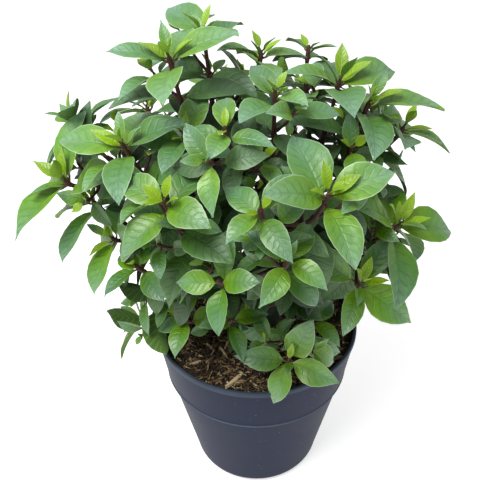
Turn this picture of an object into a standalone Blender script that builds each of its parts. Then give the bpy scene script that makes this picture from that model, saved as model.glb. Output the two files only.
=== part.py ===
# A young hydrangea in its nursery pot: canes from the soil, boughs off the canes, and a mass of leafy shoots on each.
# Metres, +Z up, origin at the middle of the pot's underside. Azimuths are in degrees, counter-clockwise
# from +X as seen from above, so -90 is the front. Lean is in degrees from upright.

import math
import random
from collections import namedtuple

import bmesh
import bpy
from mathutils import Matrix, Vector
from mathutils.bvhtree import BVHTree
from mathutils.geometry import interpolate_bezier
from mathutils.kdtree import KDTree

GAP = 0.0003  # between solids that touch
COPE_GAP = 0.00036  # between a bough's foot and the cane it is coped round
LIMB_ROOM = 0.0105  # between the middle lines of two limbs, past where they part
STEP = 0.005  # between the points of a limb's curve
MESH_STRIDE = 4  # a limb's mesh takes every fourth of them

# Pot: a tapered tub of 5 litres with a deep collar at the top
POT_HEIGHT = 0.192
POT_RADIUS = 0.110  # outside, at the rim
POT_WALL = 0.0022
POT_FLOOR = 0.0045
POT_SIDES = 40
RIM_LIP = 0.0035  # thickness of the rolled rim
COLLAR_FOOT = 0.133  # height of the collar's lower edge
COLLAR_FOOT_RADIUS = 0.1012
COLLAR_STEP = 0.0024
BASE_RADIUS = 0.062  # where the rounded foot meets the ground
BASE_CORNER = 0.012
FOOT_RING = 0.004  # width of the ring that the pot stands on
FOOT_RISE = 0.003  # the floor's underside above the ground
BOSS_RADIUS = 0.018  # flat boss in the middle of the underside, down to the ground
NOTCHES = 6  # drain notches through the foot ring
NOTCH_WIDTH = 0.009

# Soil: fills the pot to just under its rim, a little higher in the middle
SOIL_EDGE = 0.183
SOIL_CROWN = 0.005
FOOT_LEVEL = SOIL_EDGE + SOIL_CROWN + GAP  # where the canes' flat feet stand

# Canes: woody stems that rise from a clump in the middle of the soil
CANES = 7
CANE_RING = 0.024
CANE_LEAN = 16
CANE_FIRST = -64  # azimuth of the first cane
CANE_RADIUS = 0.0048
CANE_SINK = 0.004  # a cane's curve starts this far below its flat foot
CANE_FLARE = 0.35  # how much wider its foot is, fading out over the next length
FLARE_LENGTH = 0.009
FORK_SPACING = 0.016  # between the places where boughs leave one cane
SHOOT_RADIUS = 0.0024  # where a limb ends and its leafy shoot goes on
TWIG_TIP_RADIUS = 0.0016

# Shoots: how they lean and bend, and where their leaf pairs sit
LEAN_PER_METRE = 150  # of reach, at the top
LOW_LEAN = 700  # added per metre of reach, for each metre that a shoot is under the height below
LOW_LEAN_FROM = 0.43
ROSETTE_DROP = 0.006  # a rosette's middle below the tip of its shoot
MASS_STEM = 0.125  # longest leafy stem
LEAFY_SHARE = 0.62  # of a short limb that is leafy
FORK_SHARE = 0.22  # along the leafy stem, where its second shoot leaves
FORK_RADIUS = 0.0020
PAIRS = (  # distance below the tip, size, lift and droop of each leaf pair
    (0.001, 0.42, 58, 14),
    (0.007, 0.90, 28, 34),
    (0.013, 1.00, 14, 38),
    (0.040, 1.00, 16, 40),
    (0.068, 0.94, 12, 40),
    (0.096, 0.86, 8, 38),
    (0.120, 0.76, 4, 36),
)
LIGHT_PULL = 0.35  # how far the lower leaves turn their faces to the light
LIGHT = (0, -0.5, 0.87)  # the way to it: from above, and a little from the front

# Leaves
LEAF_WIDTH = 0.57  # of the length
LEAF_FOLD = 16  # degrees that each half rises from the midrib
LEAF_THICK = 0.0013
STALK_HALF_WIDTH = 0.0007
STALK = 0.10  # length of a leaf's stalk, as a share of the leaf, from the middle of its stem
SHORTEST_STALK = 0.0042
LEAF_STATIONS = ((0.34, 0.94), (0.68, 0.80))  # share of the length, share of the half width
SMALL_STATIONS = ((0.48, 1.0),)
SMALL_LEAF = 0.052
SHORTEST_LEAF = 0.014
LEAST_WITH_CENTRE = 43  # mm, the leaf length of the shoots that carry an upright centre pair
TURN_SPREAD = 9  # degrees that a leaf may stray round its stem, and below up or down and on its own axis
TILT_SPREAD = 8
ROLL_SPREAD = 12
SIZE_SPREAD = 0.09
TOP_PULL = 0.26  # the same pull to the light for the top pairs
STEM_CLEAR = 0.012  # no pair sits nearer than this to the foot of its stem

# How leaves make room for each other
LEAF_ROOM = 0.0008  # kept round a leaf
LIMB_CLEAR = 0.003  # between a leaf and a limb's bark
ROOT_ROOM = 0.011  # where a leaf leaves its own mass's stems
RIM_CLEAR = 0.002
SOIL_CLEAR = 0.003
RIM_REACH = 0.012  # how far in from the pot's outside a leaf counts as over the rim
SIDE_CLEAR = 0.003
COLLAR_SHADE = 0.045  # how far below the rim a leaf may hang beside the pot
TRIES = (  # lift and turn in degrees, and size, tried in this order for a leaf that meets something
    (0, 0, 1), (7, 0, 1), (-7, 0, 1), (0, 8, 1), (0, -8, 1), (14, 0, 1), (-14, 0, 1), (8, 14, 1), (8, -14, 1),
    (-8, 14, 1), (-8, -14, 1), (24, 0, 0.95), (-22, 0, 0.95), (12, 22, 0.9), (12, -22, 0.9), (0, 0, 0.8),
    (16, 0, 0.7), (-16, 0, 0.7), (0, 20, 0.65), (0, -20, 0.65), (0, 0, 0.5),
)

# The leafy shoots that face the front and the top. Each mass is a stem and, in most, one fork.
# A shoot is azimuth, reach (mm), height (mm), turn of its leaf pairs and leaf length (mm).
FRONT = {
    "top": [(156, 50, 498, 150, 60), (82, 30, 477, 0, 50)],
    "top_left": [(-154, 77, 496, 150, 64), (-135, 83, 440, 174, 50)],
    "left": [(-151, 124, 432, 145, 66)],
    "far_left": [(172, 173, 415, 130, 58), (-173, 175, 376, 30, 80)],
    "left_low": [(180, 158, 342, 150, 66), (-171, 140, 312, 30, 64)],
    "front_left": [(-120, 139, 414, 84, 56)],
    "front_top": [(-73, 52, 472, 27, 46), (-105, 93, 461, 18, 42)],
    "front_high": [(-66, 132, 421, 93, 66), (-89, 140, 420, 150, 42)],
    "front": [(-81, 152, 383, 48, 45), (-102, 143, 354, 111, 42)],
    "top_right": [(14, 76, 455, 10, 76), (51, 77, 472, 69, 40)],
    "right": [(-10, 97, 450, 10, 74), (6, 136, 412, 150, 62)],
    "right_low": [(-22, 136, 347, 33, 78), (-45, 128, 311, 144, 62)],
    "front_low": [(-52, 89, 251, 12, 38), (-74, 106, 227, 75, 56)],
    "left_foot": [(-151, 126, 309, 0, 50), (-168, 121, 212, 45, 60)],
    "front_foot": [(-134, 98, 253, 40, 44), (-105, 88, 264, 75, 40)],
}

# The far side has no shoots to match, so a rule spreads its masses round in turn, low and high
BACK_MASSES = 8
BACK_FIRST = 8
BACK_TURN = 20
BACK_LOW = (150, 302)  # reach and height of a low mass, in mm
BACK_HIGH = (128, 408)
BACK_FORK = (16, -12, -72)  # the fork's change of azimuth, reach and height
SEED = 11

Limb = namedtuple("Limb", "name points radii")
Shoot = namedtuple("Shoot", "mass points radii spin leaf")
Leaf = namedtuple("Leaf", "mass order base way face length droop")


def way_out(azimuth, lean):
    """A direction that leans the given degrees from upright, towards the azimuth."""
    a, b = math.radians(azimuth), math.radians(lean)
    return Vector((math.sin(b) * math.cos(a), math.sin(b) * math.sin(a), math.cos(b)))


def tip_of(row):
    """The tip of a listed shoot, and the way that it points."""
    azimuth, reach, height = row[0], row[1] / 1000, row[2] / 1000
    a = math.radians(azimuth)
    place = Vector((reach * math.cos(a), reach * math.sin(a), height))
    lean = reach * (LEAN_PER_METRE + LOW_LEAN * max(0, LOW_LEAN_FROM - height))
    way = way_out(azimuth, lean)
    return place + way * ROSETTE_DROP, way


def bend(start, start_way, end, end_way):
    """Points about 4 mm apart on a smooth curve that leaves and arrives along the given ways."""
    span = (end - start).length
    count = max(6, round(span / 0.004))
    return interpolate_bezier(start, start + start_way * span * 0.4, end - end_way * span * 0.4, end, count)


def length_of(points):
    return sum((b - a).length for a, b in zip(points, points[1:]))


def point_at(points, distance):
    """The place and the way of a curve at a distance from its start."""
    for a, b in zip(points, points[1:]):
        step = (b - a).length
        if distance <= step:
            return a + (b - a) * max(distance, 0) / step, (b - a).normalized()
        distance -= step
    return points[-1].copy(), (points[-1] - points[-2]).normalized()


def stretch(points, begin, end):
    """The part of a curve between two distances from its start, in short even steps."""
    count = max(2, round((end - begin) / STEP))
    return [point_at(points, begin + (end - begin) * i / count)[0] for i in range(count + 1)]


def taper(points, foot, tip):
    return [foot + (tip - foot) * i / (len(points) - 1) for i in range(len(points))]


def room_of(points, clear_from, tree):
    """The least distance from a curve, past its first few centimetres, to the middle lines in a search tree."""
    return min(tree.find(p)[2] or 1 for p in points if (p - points[0]).length > clear_from)


def clear_bend(start, start_way, end, end_way, limbs, clear_from):
    """A curve that keeps off the limbs, its start swung to one side or the other where one is in the way."""
    tree = KDTree(sum(len(limb.points) for limb in limbs))
    for limb in limbs:
        for p in limb.points:
            tree.insert(p, 0)
    tree.balance()
    best, most = None, 0
    for rise in (0, 0.35, -0.3):
        for swing in (0, 20, -20, 40, -40, 60, -60):
            turned = Matrix.Rotation(math.radians(swing), 3, "Z") @ start_way
            way = (turned + Vector((0, 0, rise))).normalized()
            points = bend(start, way, end, end_way)
            room = room_of(points, clear_from, tree)
            if room > LIMB_ROOM:
                return points
            if room > most:
                best, most = points, room
    return best


def back_masses():
    """The far side's masses by rule, as rows like the front's."""
    masses = {}
    for k in range(BACK_MASSES):
        azimuth = BACK_FIRST + BACK_TURN * k
        reach, height = BACK_HIGH if k % 2 else BACK_LOW
        side = -1 if k % 2 else 1
        spin, leaf = 37 * k % 90, 54 + 7 * (k % 3)
        fork = (azimuth + side * BACK_FORK[0], reach + BACK_FORK[1], height + BACK_FORK[2], 90 - spin, leaf - 6)
        masses[f"back_{k + 1}"] = [(azimuth, reach, height, spin, leaf), fork]
    return masses


def grow():
    """Canes, boughs and leafy shoots. Each mass hangs on the cane that stands nearest to it."""
    masses = FRONT | back_masses()
    crews = [[] for _ in range(CANES)]
    for name, rows in masses.items():
        away = [abs((rows[0][0] - CANE_FIRST - 360 / CANES * i + 180) % 360 - 180) for i in range(CANES)]
        crews[away.index(min(away))].append(name)
    canes, boughs, shoots = [], [], []
    low = FOOT_LEVEL - CANE_SINK
    for i, crew in enumerate(crews):
        crew.sort(key=lambda name: -masses[name][0][2])
        azimuth = CANE_FIRST + 360 / CANES * i
        a = math.radians(azimuth)
        foot = Vector((CANE_RING * math.cos(a), CANE_RING * math.sin(a), low))
        cane, forks_at = None, []
        for name in crew:
            rows = masses[name]
            tip, tip_way = tip_of(rows[0])
            if cane is None:
                cane = clear_bend(foot, way_out(azimuth, CANE_LEAN), tip, tip_way, canes + boughs + shoots, 0.03)
                full, base_radius = cane, CANE_RADIUS
            else:
                rise = (tip.z - low) / (cane[-1].z - low)
                fork_at = min(length_of(cane) * max(0.05, 0.55 * rise - 0.02), length_of(canes[-1].points) - 0.015)
                while any(abs(fork_at - other) < FORK_SPACING for other in forks_at):
                    fork_at -= FORK_SPACING / 2
                forks_at.append(fork_at)
                place, way = point_at(cane, fork_at)
                out = (way + (tip - place).normalized() * 1.2).normalized()
                full = clear_bend(place, out, tip, tip_way, canes + boughs + shoots, 0.03)
                base_radius = SHOOT_RADIUS * 1.35
            whole = length_of(full)
            leafy = min(MASS_STEM, LEAFY_SHARE * whole)
            points = stretch(full, 0, whole - leafy)
            radii = taper(points, base_radius, SHOOT_RADIUS)
            if full is cane:
                wider = [1 + CANE_FLARE * math.exp(-STEP * k / FLARE_LENGTH) for k in range(len(points))]
                canes.append(Limb(f"cane_{i + 1}", points, [r * w for r, w in zip(radii, wider)]))
            else:
                boughs.append(Limb(f"bough_{name}", points, radii))
            stem = stretch(full, whole - leafy + GAP, whole)
            shoots.append(Shoot(name, stem, taper(stem, SHOOT_RADIUS, TWIG_TIP_RADIUS), *rows[0][3:]))
            for row in rows[1:]:
                fork, fork_way = point_at(stem, FORK_SHARE * leafy)
                end, end_way = tip_of(row)
                out = (fork_way + (end - fork).normalized()).normalized()
                side = clear_bend(fork, out, end, end_way, canes + boughs + shoots, 0.02)
                side = stretch(side, 0, length_of(side))
                shoots.append(Shoot(name, side, taper(side, FORK_RADIUS, TWIG_TIP_RADIUS), *row[3:]))
    return canes, boughs, shoots


def leaf_plan(shoots):
    """Every leaf as a growing shoot would set it, in crossed pairs, before any of them meets another."""
    rng = random.Random(SEED)
    plan = []
    for shoot in shoots:
        whole = length_of(shoot.points)
        for order, (below, size, lift, droop) in enumerate(PAIRS):
            base, axis = point_at(shoot.points, whole - below)
            level = axis.cross(Vector((0, 0, 1))).normalized()
            for half in (0, 180):
                turn, tilt, grow_by, roll = (rng.uniform(-1, 1) for _ in range(4))
                if below > whole - STEM_CLEAR or (order == 0 and shoot.leaf < LEAST_WITH_CENTRE):
                    continue
                spin = math.radians(shoot.spin + 90 * (order % 2) + half + TURN_SPREAD * turn)
                pair = Matrix.Rotation(spin, 3, axis) @ level
                up = math.radians(lift + TILT_SPREAD * tilt)
                way = pair * math.cos(up) + axis * math.sin(up)
                face = axis * math.cos(up) - pair * math.sin(up)
                pull = LIGHT_PULL if order > 2 else TOP_PULL
                face = face * (1 - pull) + Vector(LIGHT) * pull
                face = (face - way * face.dot(way)).normalized()
                face = Matrix.Rotation(math.radians(ROLL_SPREAD * roll), 3, way) @ face
                length = shoot.leaf / 1000 * size * (1 + SIZE_SPREAD * grow_by)
                plan.append(Leaf(shoot.mass, order, base, way, face, length, droop))
    return plan


def leaf_solid(leaf, begin=0.0, margin=0.0):
    """Corners and faces of a leaf: a three-sided stalk that opens to a blade, folded along its midrib and bent down."""
    side = leaf.face.cross(leaf.way)
    stalk = max(STALK * leaf.length, SHORTEST_STALK)
    bow = math.radians(leaf.droop) / (leaf.length - stalk)
    half = LEAF_WIDTH * leaf.length / 2

    def middle(share):
        angle = bow * (share * leaf.length - stalk)
        along = leaf.way * math.sin(angle) - leaf.face * (1 - math.cos(angle))
        rib = leaf.base + leaf.way * stalk + along / bow
        return rib, leaf.face * math.cos(angle) + leaf.way * math.sin(angle)

    wide = STALK_HALF_WIDTH + margin
    section = [(side + leaf.face) * wide, (leaf.face - side) * wide, -leaf.face * wide]
    root = leaf.base + leaf.way * min(begin * leaf.length, stalk - 0.001)
    corners = [root + corner for corner in section]
    corners += [leaf.base + leaf.way * stalk + corner for corner in section]
    stations = SMALL_STATIONS if leaf.length < SMALL_LEAF else LEAF_STATIONS
    for share, fullness in stations:
        rib, up = middle(share)
        wide = fullness * half + margin
        edge = rib + up * wide * math.tan(math.radians(LEAF_FOLD))
        thick = up * (LEAF_THICK / 2 + margin)
        corners += [edge + side * wide, rib + thick, edge - side * wide, rib - thick]
    corners.append(middle(1 + margin / leaf.length)[0])
    faces = [(0, 1, 2), (0, 3, 4, 1), (1, 4, 5, 2), (2, 5, 3, 0)]
    faces += [(3, 6, 7), (3, 7, 4), (4, 7, 8), (4, 8, 9), (4, 9, 5), (5, 9, 3), (3, 9, 6)]
    for ring in range(6, 4 * len(stations) + 2, 4):
        for i in range(4):
            a, b = ring + i, ring + (i + 1) % 4
            faces += [(a, a + 4, b + 4), (a, b + 4, b)]
    last, tip = len(corners) - 5, len(corners) - 1
    faces += [(last + i, tip, last + (i + 1) % 4) for i in range(4)]
    return corners, faces


def meets(leaf, settled, limbs):
    """True if a leaf would touch another, a limb, the soil or the pot."""
    corners, faces = leaf_solid(leaf, begin=0.2, margin=LEAF_ROOM)
    guard = BVHTree.FromPolygons(corners, faces)
    if any(below_rim(p) for p in corners):
        return True
    middle = middle_of(leaf)
    for other, tree, centre in settled:
        if (centre - middle).length < (leaf.length + other.length) * 0.62 and guard.overlap(tree):
            return True
    for limb in limbs:
        root_room = ROOT_ROOM if getattr(limb, "mass", "") == leaf.mass else 0
        for p, r in zip(limb.points, limb.radii):
            if (p - middle).length < leaf.length and (p - leaf.base).length > root_room:
                if guard.find_nearest(p, r + LIMB_CLEAR)[0] is not None:
                    return True
    return False


def middle_of(leaf):
    return leaf.base + leaf.way * leaf.length * 0.55


def below_rim(p):
    """True where a leaf would lie in the soil, or in the pot's wall below its rim."""
    across = math.hypot(p.x, p.y)
    if across > POT_RADIUS + SIDE_CLEAR:
        return p.z < POT_HEIGHT - COLLAR_SHADE
    if across > POT_RADIUS - RIM_REACH:
        return p.z < POT_HEIGHT + RIM_CLEAR
    return p.z < SOIL_EDGE + SOIL_CROWN + SOIL_CLEAR


def settle(plan, limbs):
    """The leaves that find room. One that meets another leaf or a limb turns, lifts or stays smaller, or is left out."""
    settled = []
    for leaf in sorted(plan, key=lambda leaf: (leaf.order > 2, leaf.order == 0, -leaf.length)):
        for lift, turn, size in TRIES:
            side = leaf.face.cross(leaf.way)
            spin = Matrix.Rotation(math.radians(turn), 3, leaf.face) @ Matrix.Rotation(math.radians(-lift), 3, side)
            moved = leaf._replace(way=spin @ leaf.way, face=spin @ leaf.face, length=leaf.length * size)
            if moved.length < SHORTEST_LEAF:
                break
            if not meets(moved, settled, limbs):
                settled.append((moved, BVHTree.FromPolygons(*leaf_solid(moved)), middle_of(moved)))
                break
    return [leaf for leaf, _, _ in settled]


def material(name, colour, roughness):
    """A Principled surface in a linear colour."""
    made = bpy.data.materials.new(name)
    made.use_nodes = True
    shader = made.node_tree.nodes["Principled BSDF"]
    shader.inputs["Base Color"].default_value = (*colour, 1)
    shader.inputs["Roughness"].default_value = roughness
    return made


def placed(name, mesh, where, finish):
    """A named object that holds the mesh, in a collection, with its finish."""
    ob = bpy.data.objects.new(name, mesh)
    where.objects.link(ob)
    if finish:
        mesh.materials.clear()
        mesh.materials.append(finish)
    return ob


def turned(name, profile, sides, where, finish):
    """A turned solid from a profile of (radius, height) that starts and ends on the axis."""
    mesh = bpy.data.meshes.new(name)
    mesh.from_pydata([(r, 0, z) for r, z in profile], [(i, i + 1) for i in range(len(profile) - 1)], [])
    ob = placed(name, mesh, where, finish)
    screw = ob.modifiers.new("turn", "SCREW")
    screw.steps = sides
    screw.render_steps = sides
    screw.use_merge_vertices = True
    screw.merge_threshold = 0.00005
    return ob


def rounded(corner_radius, corner_height, size, count):
    """The outer profile of a foot rounded by an arc, from its side down to the ground."""
    angles = [math.radians(90 * i / count) for i in range(count + 1)]
    return [(corner_radius - size * (1 - math.cos(a)), corner_height + size * (1 - math.sin(a))) for a in angles]


def pot_inside(height):
    """The radius of the pot's inner wall at a height."""
    low = BASE_RADIUS + BASE_CORNER - POT_WALL
    top = COLLAR_FOOT_RADIUS - COLLAR_STEP - POT_WALL
    if height < COLLAR_FOOT:
        return low + (top - low) * (height - BASE_CORNER) / (COLLAR_FOOT - BASE_CORNER)
    share = (height - COLLAR_FOOT) / (POT_HEIGHT - COLLAR_FOOT)
    return top + (POT_RADIUS - RIM_LIP - top) * share


def make_pot(where, cutters):
    """The pot: a moulded shell, open at the top, that stands on a notched ring."""
    finish = material("pot_plastic", (0.075, 0.085, 0.122), 0.55)
    floor = FOOT_RISE + POT_FLOOR
    profile = [(0, floor), (pot_inside(floor + 0.006) - 0.006, floor), (pot_inside(floor + 0.006), floor + 0.006)]
    profile += [(pot_inside(COLLAR_FOOT), COLLAR_FOOT), (POT_RADIUS - RIM_LIP, POT_HEIGHT - 0.001)]
    profile += [(POT_RADIUS - RIM_LIP + 0.001, POT_HEIGHT), (POT_RADIUS - 0.001, POT_HEIGHT)]
    profile += [(POT_RADIUS, POT_HEIGHT - 0.001), (POT_RADIUS, POT_HEIGHT - 0.005)]
    profile += [(POT_RADIUS - 0.0008, POT_HEIGHT - 0.006), (COLLAR_FOOT_RADIUS, COLLAR_FOOT + 0.001)]
    profile += [(COLLAR_FOOT_RADIUS - 0.0005, COLLAR_FOOT), (COLLAR_FOOT_RADIUS - COLLAR_STEP, COLLAR_FOOT - 0.001)]
    profile += rounded(BASE_RADIUS + BASE_CORNER, 0, BASE_CORNER, 4)
    profile += [(BASE_RADIUS - FOOT_RING, 0), (BASE_RADIUS - FOOT_RING - 0.001, FOOT_RISE)]
    profile += [(BOSS_RADIUS + 0.001, FOOT_RISE), (BOSS_RADIUS, 0), (0, 0)]
    pot = turned("pot", profile, POT_SIDES, where, finish)
    for i in range(NOTCHES):
        bpy.ops.mesh.primitive_cube_add(size=1)
        box = bpy.context.active_object
        box.name = f"notch_{i + 1}"
        a = math.radians(-90 - 8 + 360 / NOTCHES * i)
        box.location = ((BASE_RADIUS - 0.001) * math.cos(a), (BASE_RADIUS - 0.001) * math.sin(a), 0)
        box.rotation_euler.z = a
        box.scale = (0.016, NOTCH_WIDTH, FOOT_RISE * 1.6)
        box.hide_render = True
        box.display_type = "WIRE"
        for home in box.users_collection:
            home.objects.unlink(box)
        cutters.objects.link(box)
    cut = pot.modifiers.new("drain notches", "BOOLEAN")
    cut.operation = "DIFFERENCE"
    cut.operand_type = "COLLECTION"
    cut.collection = cutters
    return pot


def make_soil(where):
    """The soil: one solid that fills the pot, clear of its wall, heaped a little in the middle."""
    finish = material("potting_soil", (0.030, 0.022, 0.014), 0.95)
    floor = FOOT_RISE + POT_FLOOR + GAP
    corner = floor + 0.007
    ring = [(share, SOIL_EDGE + SOIL_CROWN * (1 - share * share)) for share in (0.0, 0.35, 0.7)]
    edge = pot_inside(SOIL_EDGE) - GAP
    profile = [(0, SOIL_EDGE + SOIL_CROWN)] + [(share * edge, height) for share, height in ring[1:]]
    profile += [(edge, SOIL_EDGE), (pot_inside(COLLAR_FOOT) - GAP, COLLAR_FOOT)]
    profile += [(pot_inside(corner) - GAP - 0.0003, corner), (pot_inside(corner) - 0.009, floor), (0, floor)]
    return turned("soil", profile, POT_SIDES // 2, where, finish)


def knots_of(limb, extra=0.0):
    """The points and radii that a limb's mesh is made from: every fourth, and on a cane two more near its foot."""
    knots = [(p, r + extra) for p, r in zip(limb.points, limb.radii)]
    first = knots[:2] if isinstance(limb, Limb) and limb.name.startswith("cane") else []
    return first + knots[len(first):-1:MESH_STRIDE] + knots[-1:]


def mesh_of_curve(name, knots, section, round_steps=0):
    """A closed mesh of a tapering limb: a poly curve with a round section, or three-sided where one is given."""
    curve = bpy.data.curves.new(name, "CURVE")
    curve.dimensions = "3D"
    curve.use_fill_caps = True
    if section:
        curve.bevel_mode = "OBJECT"
        curve.bevel_object = section
    else:
        curve.bevel_depth = 1.0
        curve.bevel_resolution = round_steps
    spline = curve.splines.new("POLY")
    spline.points.add(len(knots) - 1)
    for knot, (p, r) in zip(spline.points, knots):
        knot.co = (*p, 1)
        knot.radius = r
    ob = bpy.data.objects.new(name, curve)
    bpy.context.scene.collection.objects.link(ob)
    mesh = bpy.data.meshes.new_from_object(ob.evaluated_get(bpy.context.evaluated_depsgraph_get()))
    bpy.data.objects.remove(ob)
    bm = bmesh.new()
    bm.from_mesh(mesh)
    bmesh.ops.remove_doubles(bm, verts=bm.verts, dist=0.00001)
    bmesh.ops.recalc_face_normals(bm, faces=bm.faces)
    bm.to_mesh(mesh)
    bm.free()
    return mesh


def cut_flat(mesh, height):
    """Cuts a limb's mesh level at a height, drops what is below, and closes it with a flat foot."""
    bm = bmesh.new()
    bm.from_mesh(mesh)
    everything = bm.verts[:] + bm.edges[:] + bm.faces[:]
    bmesh.ops.bisect_plane(bm, geom=everything, plane_co=(0, 0, height), plane_no=(0, 0, 1), clear_inner=True)
    bmesh.ops.holes_fill(bm, edges=[edge for edge in bm.edges if edge.is_boundary])
    bmesh.ops.recalc_face_normals(bm, faces=bm.faces)
    bm.to_mesh(mesh)
    bm.free()


def applied(ob):
    """The mesh of an object with its modifiers, as a new bmesh."""
    mesh = bpy.data.meshes.new_from_object(ob.evaluated_get(bpy.context.evaluated_depsgraph_get()))
    bm = bmesh.new()
    bm.from_mesh(mesh)
    bpy.data.meshes.remove(mesh)
    return bm


def settle_boolean(ob):
    """Applies an object's Boolean, by the second solver where the first leaves it open, and keeps the largest piece."""
    bm = applied(ob)
    if not all(edge.is_manifold for edge in bm.edges):
        bm.free()
        ob.modifiers[0].solver = "MANIFOLD"
        bm = applied(ob)
    ob.modifiers.clear()
    left, pieces = set(bm.faces), []
    while left:
        piece, edge = set(), {left.pop()}
        while edge:
            piece |= edge
            edge = {n for f in edge for e in f.edges for n in e.link_faces} - piece
        left -= piece
        pieces.append(piece)
    keep = max(pieces, key=len)
    bmesh.ops.delete(bm, geom=[f for f in bm.faces if f not in keep], context="FACES")
    bm.to_mesh(ob.data)
    bm.free()


def make_limbs(canes, boughs, where):
    """Canes and boughs. A bough's foot is coped round its cane, with the usual gap."""
    bark = material("bark", (0.095, 0.062, 0.040), 0.85)
    for cane in canes:
        mesh = mesh_of_curve(cane.name, knots_of(cane), None, 1)
        cut_flat(mesh, FOOT_LEVEL)
        placed(cane.name, mesh, where, bark)
    for bough in boughs:
        ob = placed(bough.name, mesh_of_curve(bough.name, knots_of(bough), None), where, bark)
        for cane in canes:
            near_foot = min((p - bough.points[0]).length for p in cane.points) < 0.012
            if not near_foot:
                continue
            fat = mesh_of_curve("cope", knots_of(cane, COPE_GAP), None, 1)
            cutter = placed("cope", fat, bpy.context.scene.collection, None)
            cut = ob.modifiers.new("cope", "BOOLEAN")
            cut.operation = "DIFFERENCE"
            cut.object = cutter
            settle_boolean(ob)
            bpy.data.objects.remove(cutter)


def make_masses(shoots, leaves, where):
    """One solid for each mass: its stem, its fork and its leaves in one union."""
    green = material("leaf", (0.105, 0.225, 0.065), 0.5)
    bevel = bpy.data.curves.new("twig section", "CURVE")
    bevel.dimensions = "2D"
    spline = bevel.splines.new("POLY")
    spline.points.add(2)
    spline.use_cyclic_u = True
    for i, knot in enumerate(spline.points):
        knot.co = (math.cos(i * math.tau / 3), math.sin(i * math.tau / 3), 0, 1)
    section = bpy.data.objects.new("twig section", bevel)
    bpy.context.scene.collection.objects.link(section)
    for name in sorted({shoot.mass for shoot in shoots}):
        stems = [shoot for shoot in shoots if shoot.mass == name]
        group = bpy.data.collections.new(f"parts of {name}")
        bpy.context.scene.collection.children.link(group)
        mass = placed(f"foliage_{name}", mesh_of_curve(name, knots_of(stems[0]), section), where, green)
        for stem in stems[1:]:
            placed("twig", mesh_of_curve("twig", knots_of(stem), section), group, None)
        for leaf in leaves:
            if leaf.mass == name:
                corners, faces = leaf_solid(leaf)
                mesh = bpy.data.meshes.new("leaf")
                mesh.from_pydata(corners, [], faces)
                placed("leaf", mesh, group, None)
        union = mass.modifiers.new("grown together", "BOOLEAN")
        union.operation = "UNION"
        union.operand_type = "COLLECTION"
        union.collection = group
        settle_boolean(mass)
        mass.data.materials.clear()
        mass.data.materials.append(green)
        for ob in list(group.objects):
            bpy.data.objects.remove(ob)
        bpy.data.collections.remove(group)
    bpy.data.objects.remove(section)


for ob in list(bpy.data.objects):
    bpy.data.objects.remove(ob)
shrub = bpy.data.collections.new("potted_hydrangea")
bpy.context.scene.collection.children.link(shrub)
drain_cutters = bpy.data.collections.new("drain_cutters")
bpy.context.scene.collection.children.link(drain_cutters)

make_pot(shrub, drain_cutters)
make_soil(shrub)
canes, boughs, shoots = grow()
leaves = settle(leaf_plan(shoots), canes + boughs + shoots)
make_limbs(canes, boughs, shrub)
make_masses(shoots, leaves, shrub)
print(len(leaves), "leaves on", len(shoots), "shoots,", len(canes), "canes,", len(boughs), "boughs")
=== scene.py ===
# A young hydrangea in its nursery pot: the pot, its bark compost, the canes, the leafy shoots and each leaf.
# Metres, +Z up, the pot's axis at the origin. Azimuths are in degrees, counter-clockwise from +X as seen from
# above, so -90 is the front.
import math
import random
from collections import namedtuple

import bpy
import numpy as np
from mathutils import Matrix, Vector, noise
from mathutils.bvhtree import BVHTree
from mathutils.geometry import interpolate_bezier
from mathutils.kdtree import KDTree


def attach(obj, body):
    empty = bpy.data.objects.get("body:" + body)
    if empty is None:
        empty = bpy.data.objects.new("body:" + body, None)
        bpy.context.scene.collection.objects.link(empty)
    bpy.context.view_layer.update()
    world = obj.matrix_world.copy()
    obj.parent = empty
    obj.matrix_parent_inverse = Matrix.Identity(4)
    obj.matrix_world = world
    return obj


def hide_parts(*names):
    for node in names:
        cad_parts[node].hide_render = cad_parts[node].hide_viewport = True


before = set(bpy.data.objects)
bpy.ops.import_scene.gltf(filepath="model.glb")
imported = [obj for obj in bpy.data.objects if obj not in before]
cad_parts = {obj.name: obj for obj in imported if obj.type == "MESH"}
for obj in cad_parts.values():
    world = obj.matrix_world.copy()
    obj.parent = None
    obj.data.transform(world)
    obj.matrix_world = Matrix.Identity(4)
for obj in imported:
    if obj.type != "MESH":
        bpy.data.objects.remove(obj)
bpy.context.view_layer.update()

# Camera: it looks down on the plant as from a potting bench, with the pot a little right of the middle
PICTURE_SIDE = 480  # pixels
POT_RIGHT_OF_MIDDLE = 16.5  # pixels
CAMERA_PLACE = (0, -0.556, 0.687)
LOOKS_DOWN = 35  # degrees
LENS = 50.2  # mm
bpy.ops.object.camera_add(location=CAMERA_PLACE, rotation=(math.radians(90 - LOOKS_DOWN), 0, 0))
camera = bpy.context.object
camera.name = "bench_camera"
camera.data.lens = LENS
camera.data.shift_x = -POT_RIGHT_OF_MIDDLE / PICTURE_SIDE
bpy.context.scene.camera = camera

# Studio: a lit table top under a white tent, and one broad softbox above the front left
TENT_STRENGTH = 0.51
TABLE_SIDE = 8
TABLE_GLOW = 0.57
SOFTBOX_PLACE = (-0.55, -0.65, 1.75)
SOFTBOX_AIM = (0, 0, 0.3)
SOFTBOX_SIDE = 0.9
SOFTBOX_WATTS = 26.5
bpy.context.scene.view_settings.view_transform = "Standard"


def linear(colour):
    """An sRGB hex colour as linear red, green, blue and alpha."""
    parts = [int(colour[i : i + 2], 16) / 255 for i in (1, 3, 5)]
    return (*((c / 12.92 if c <= 0.04045 else ((c + 0.055) / 1.055) ** 2.4) for c in parts), 1)


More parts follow.
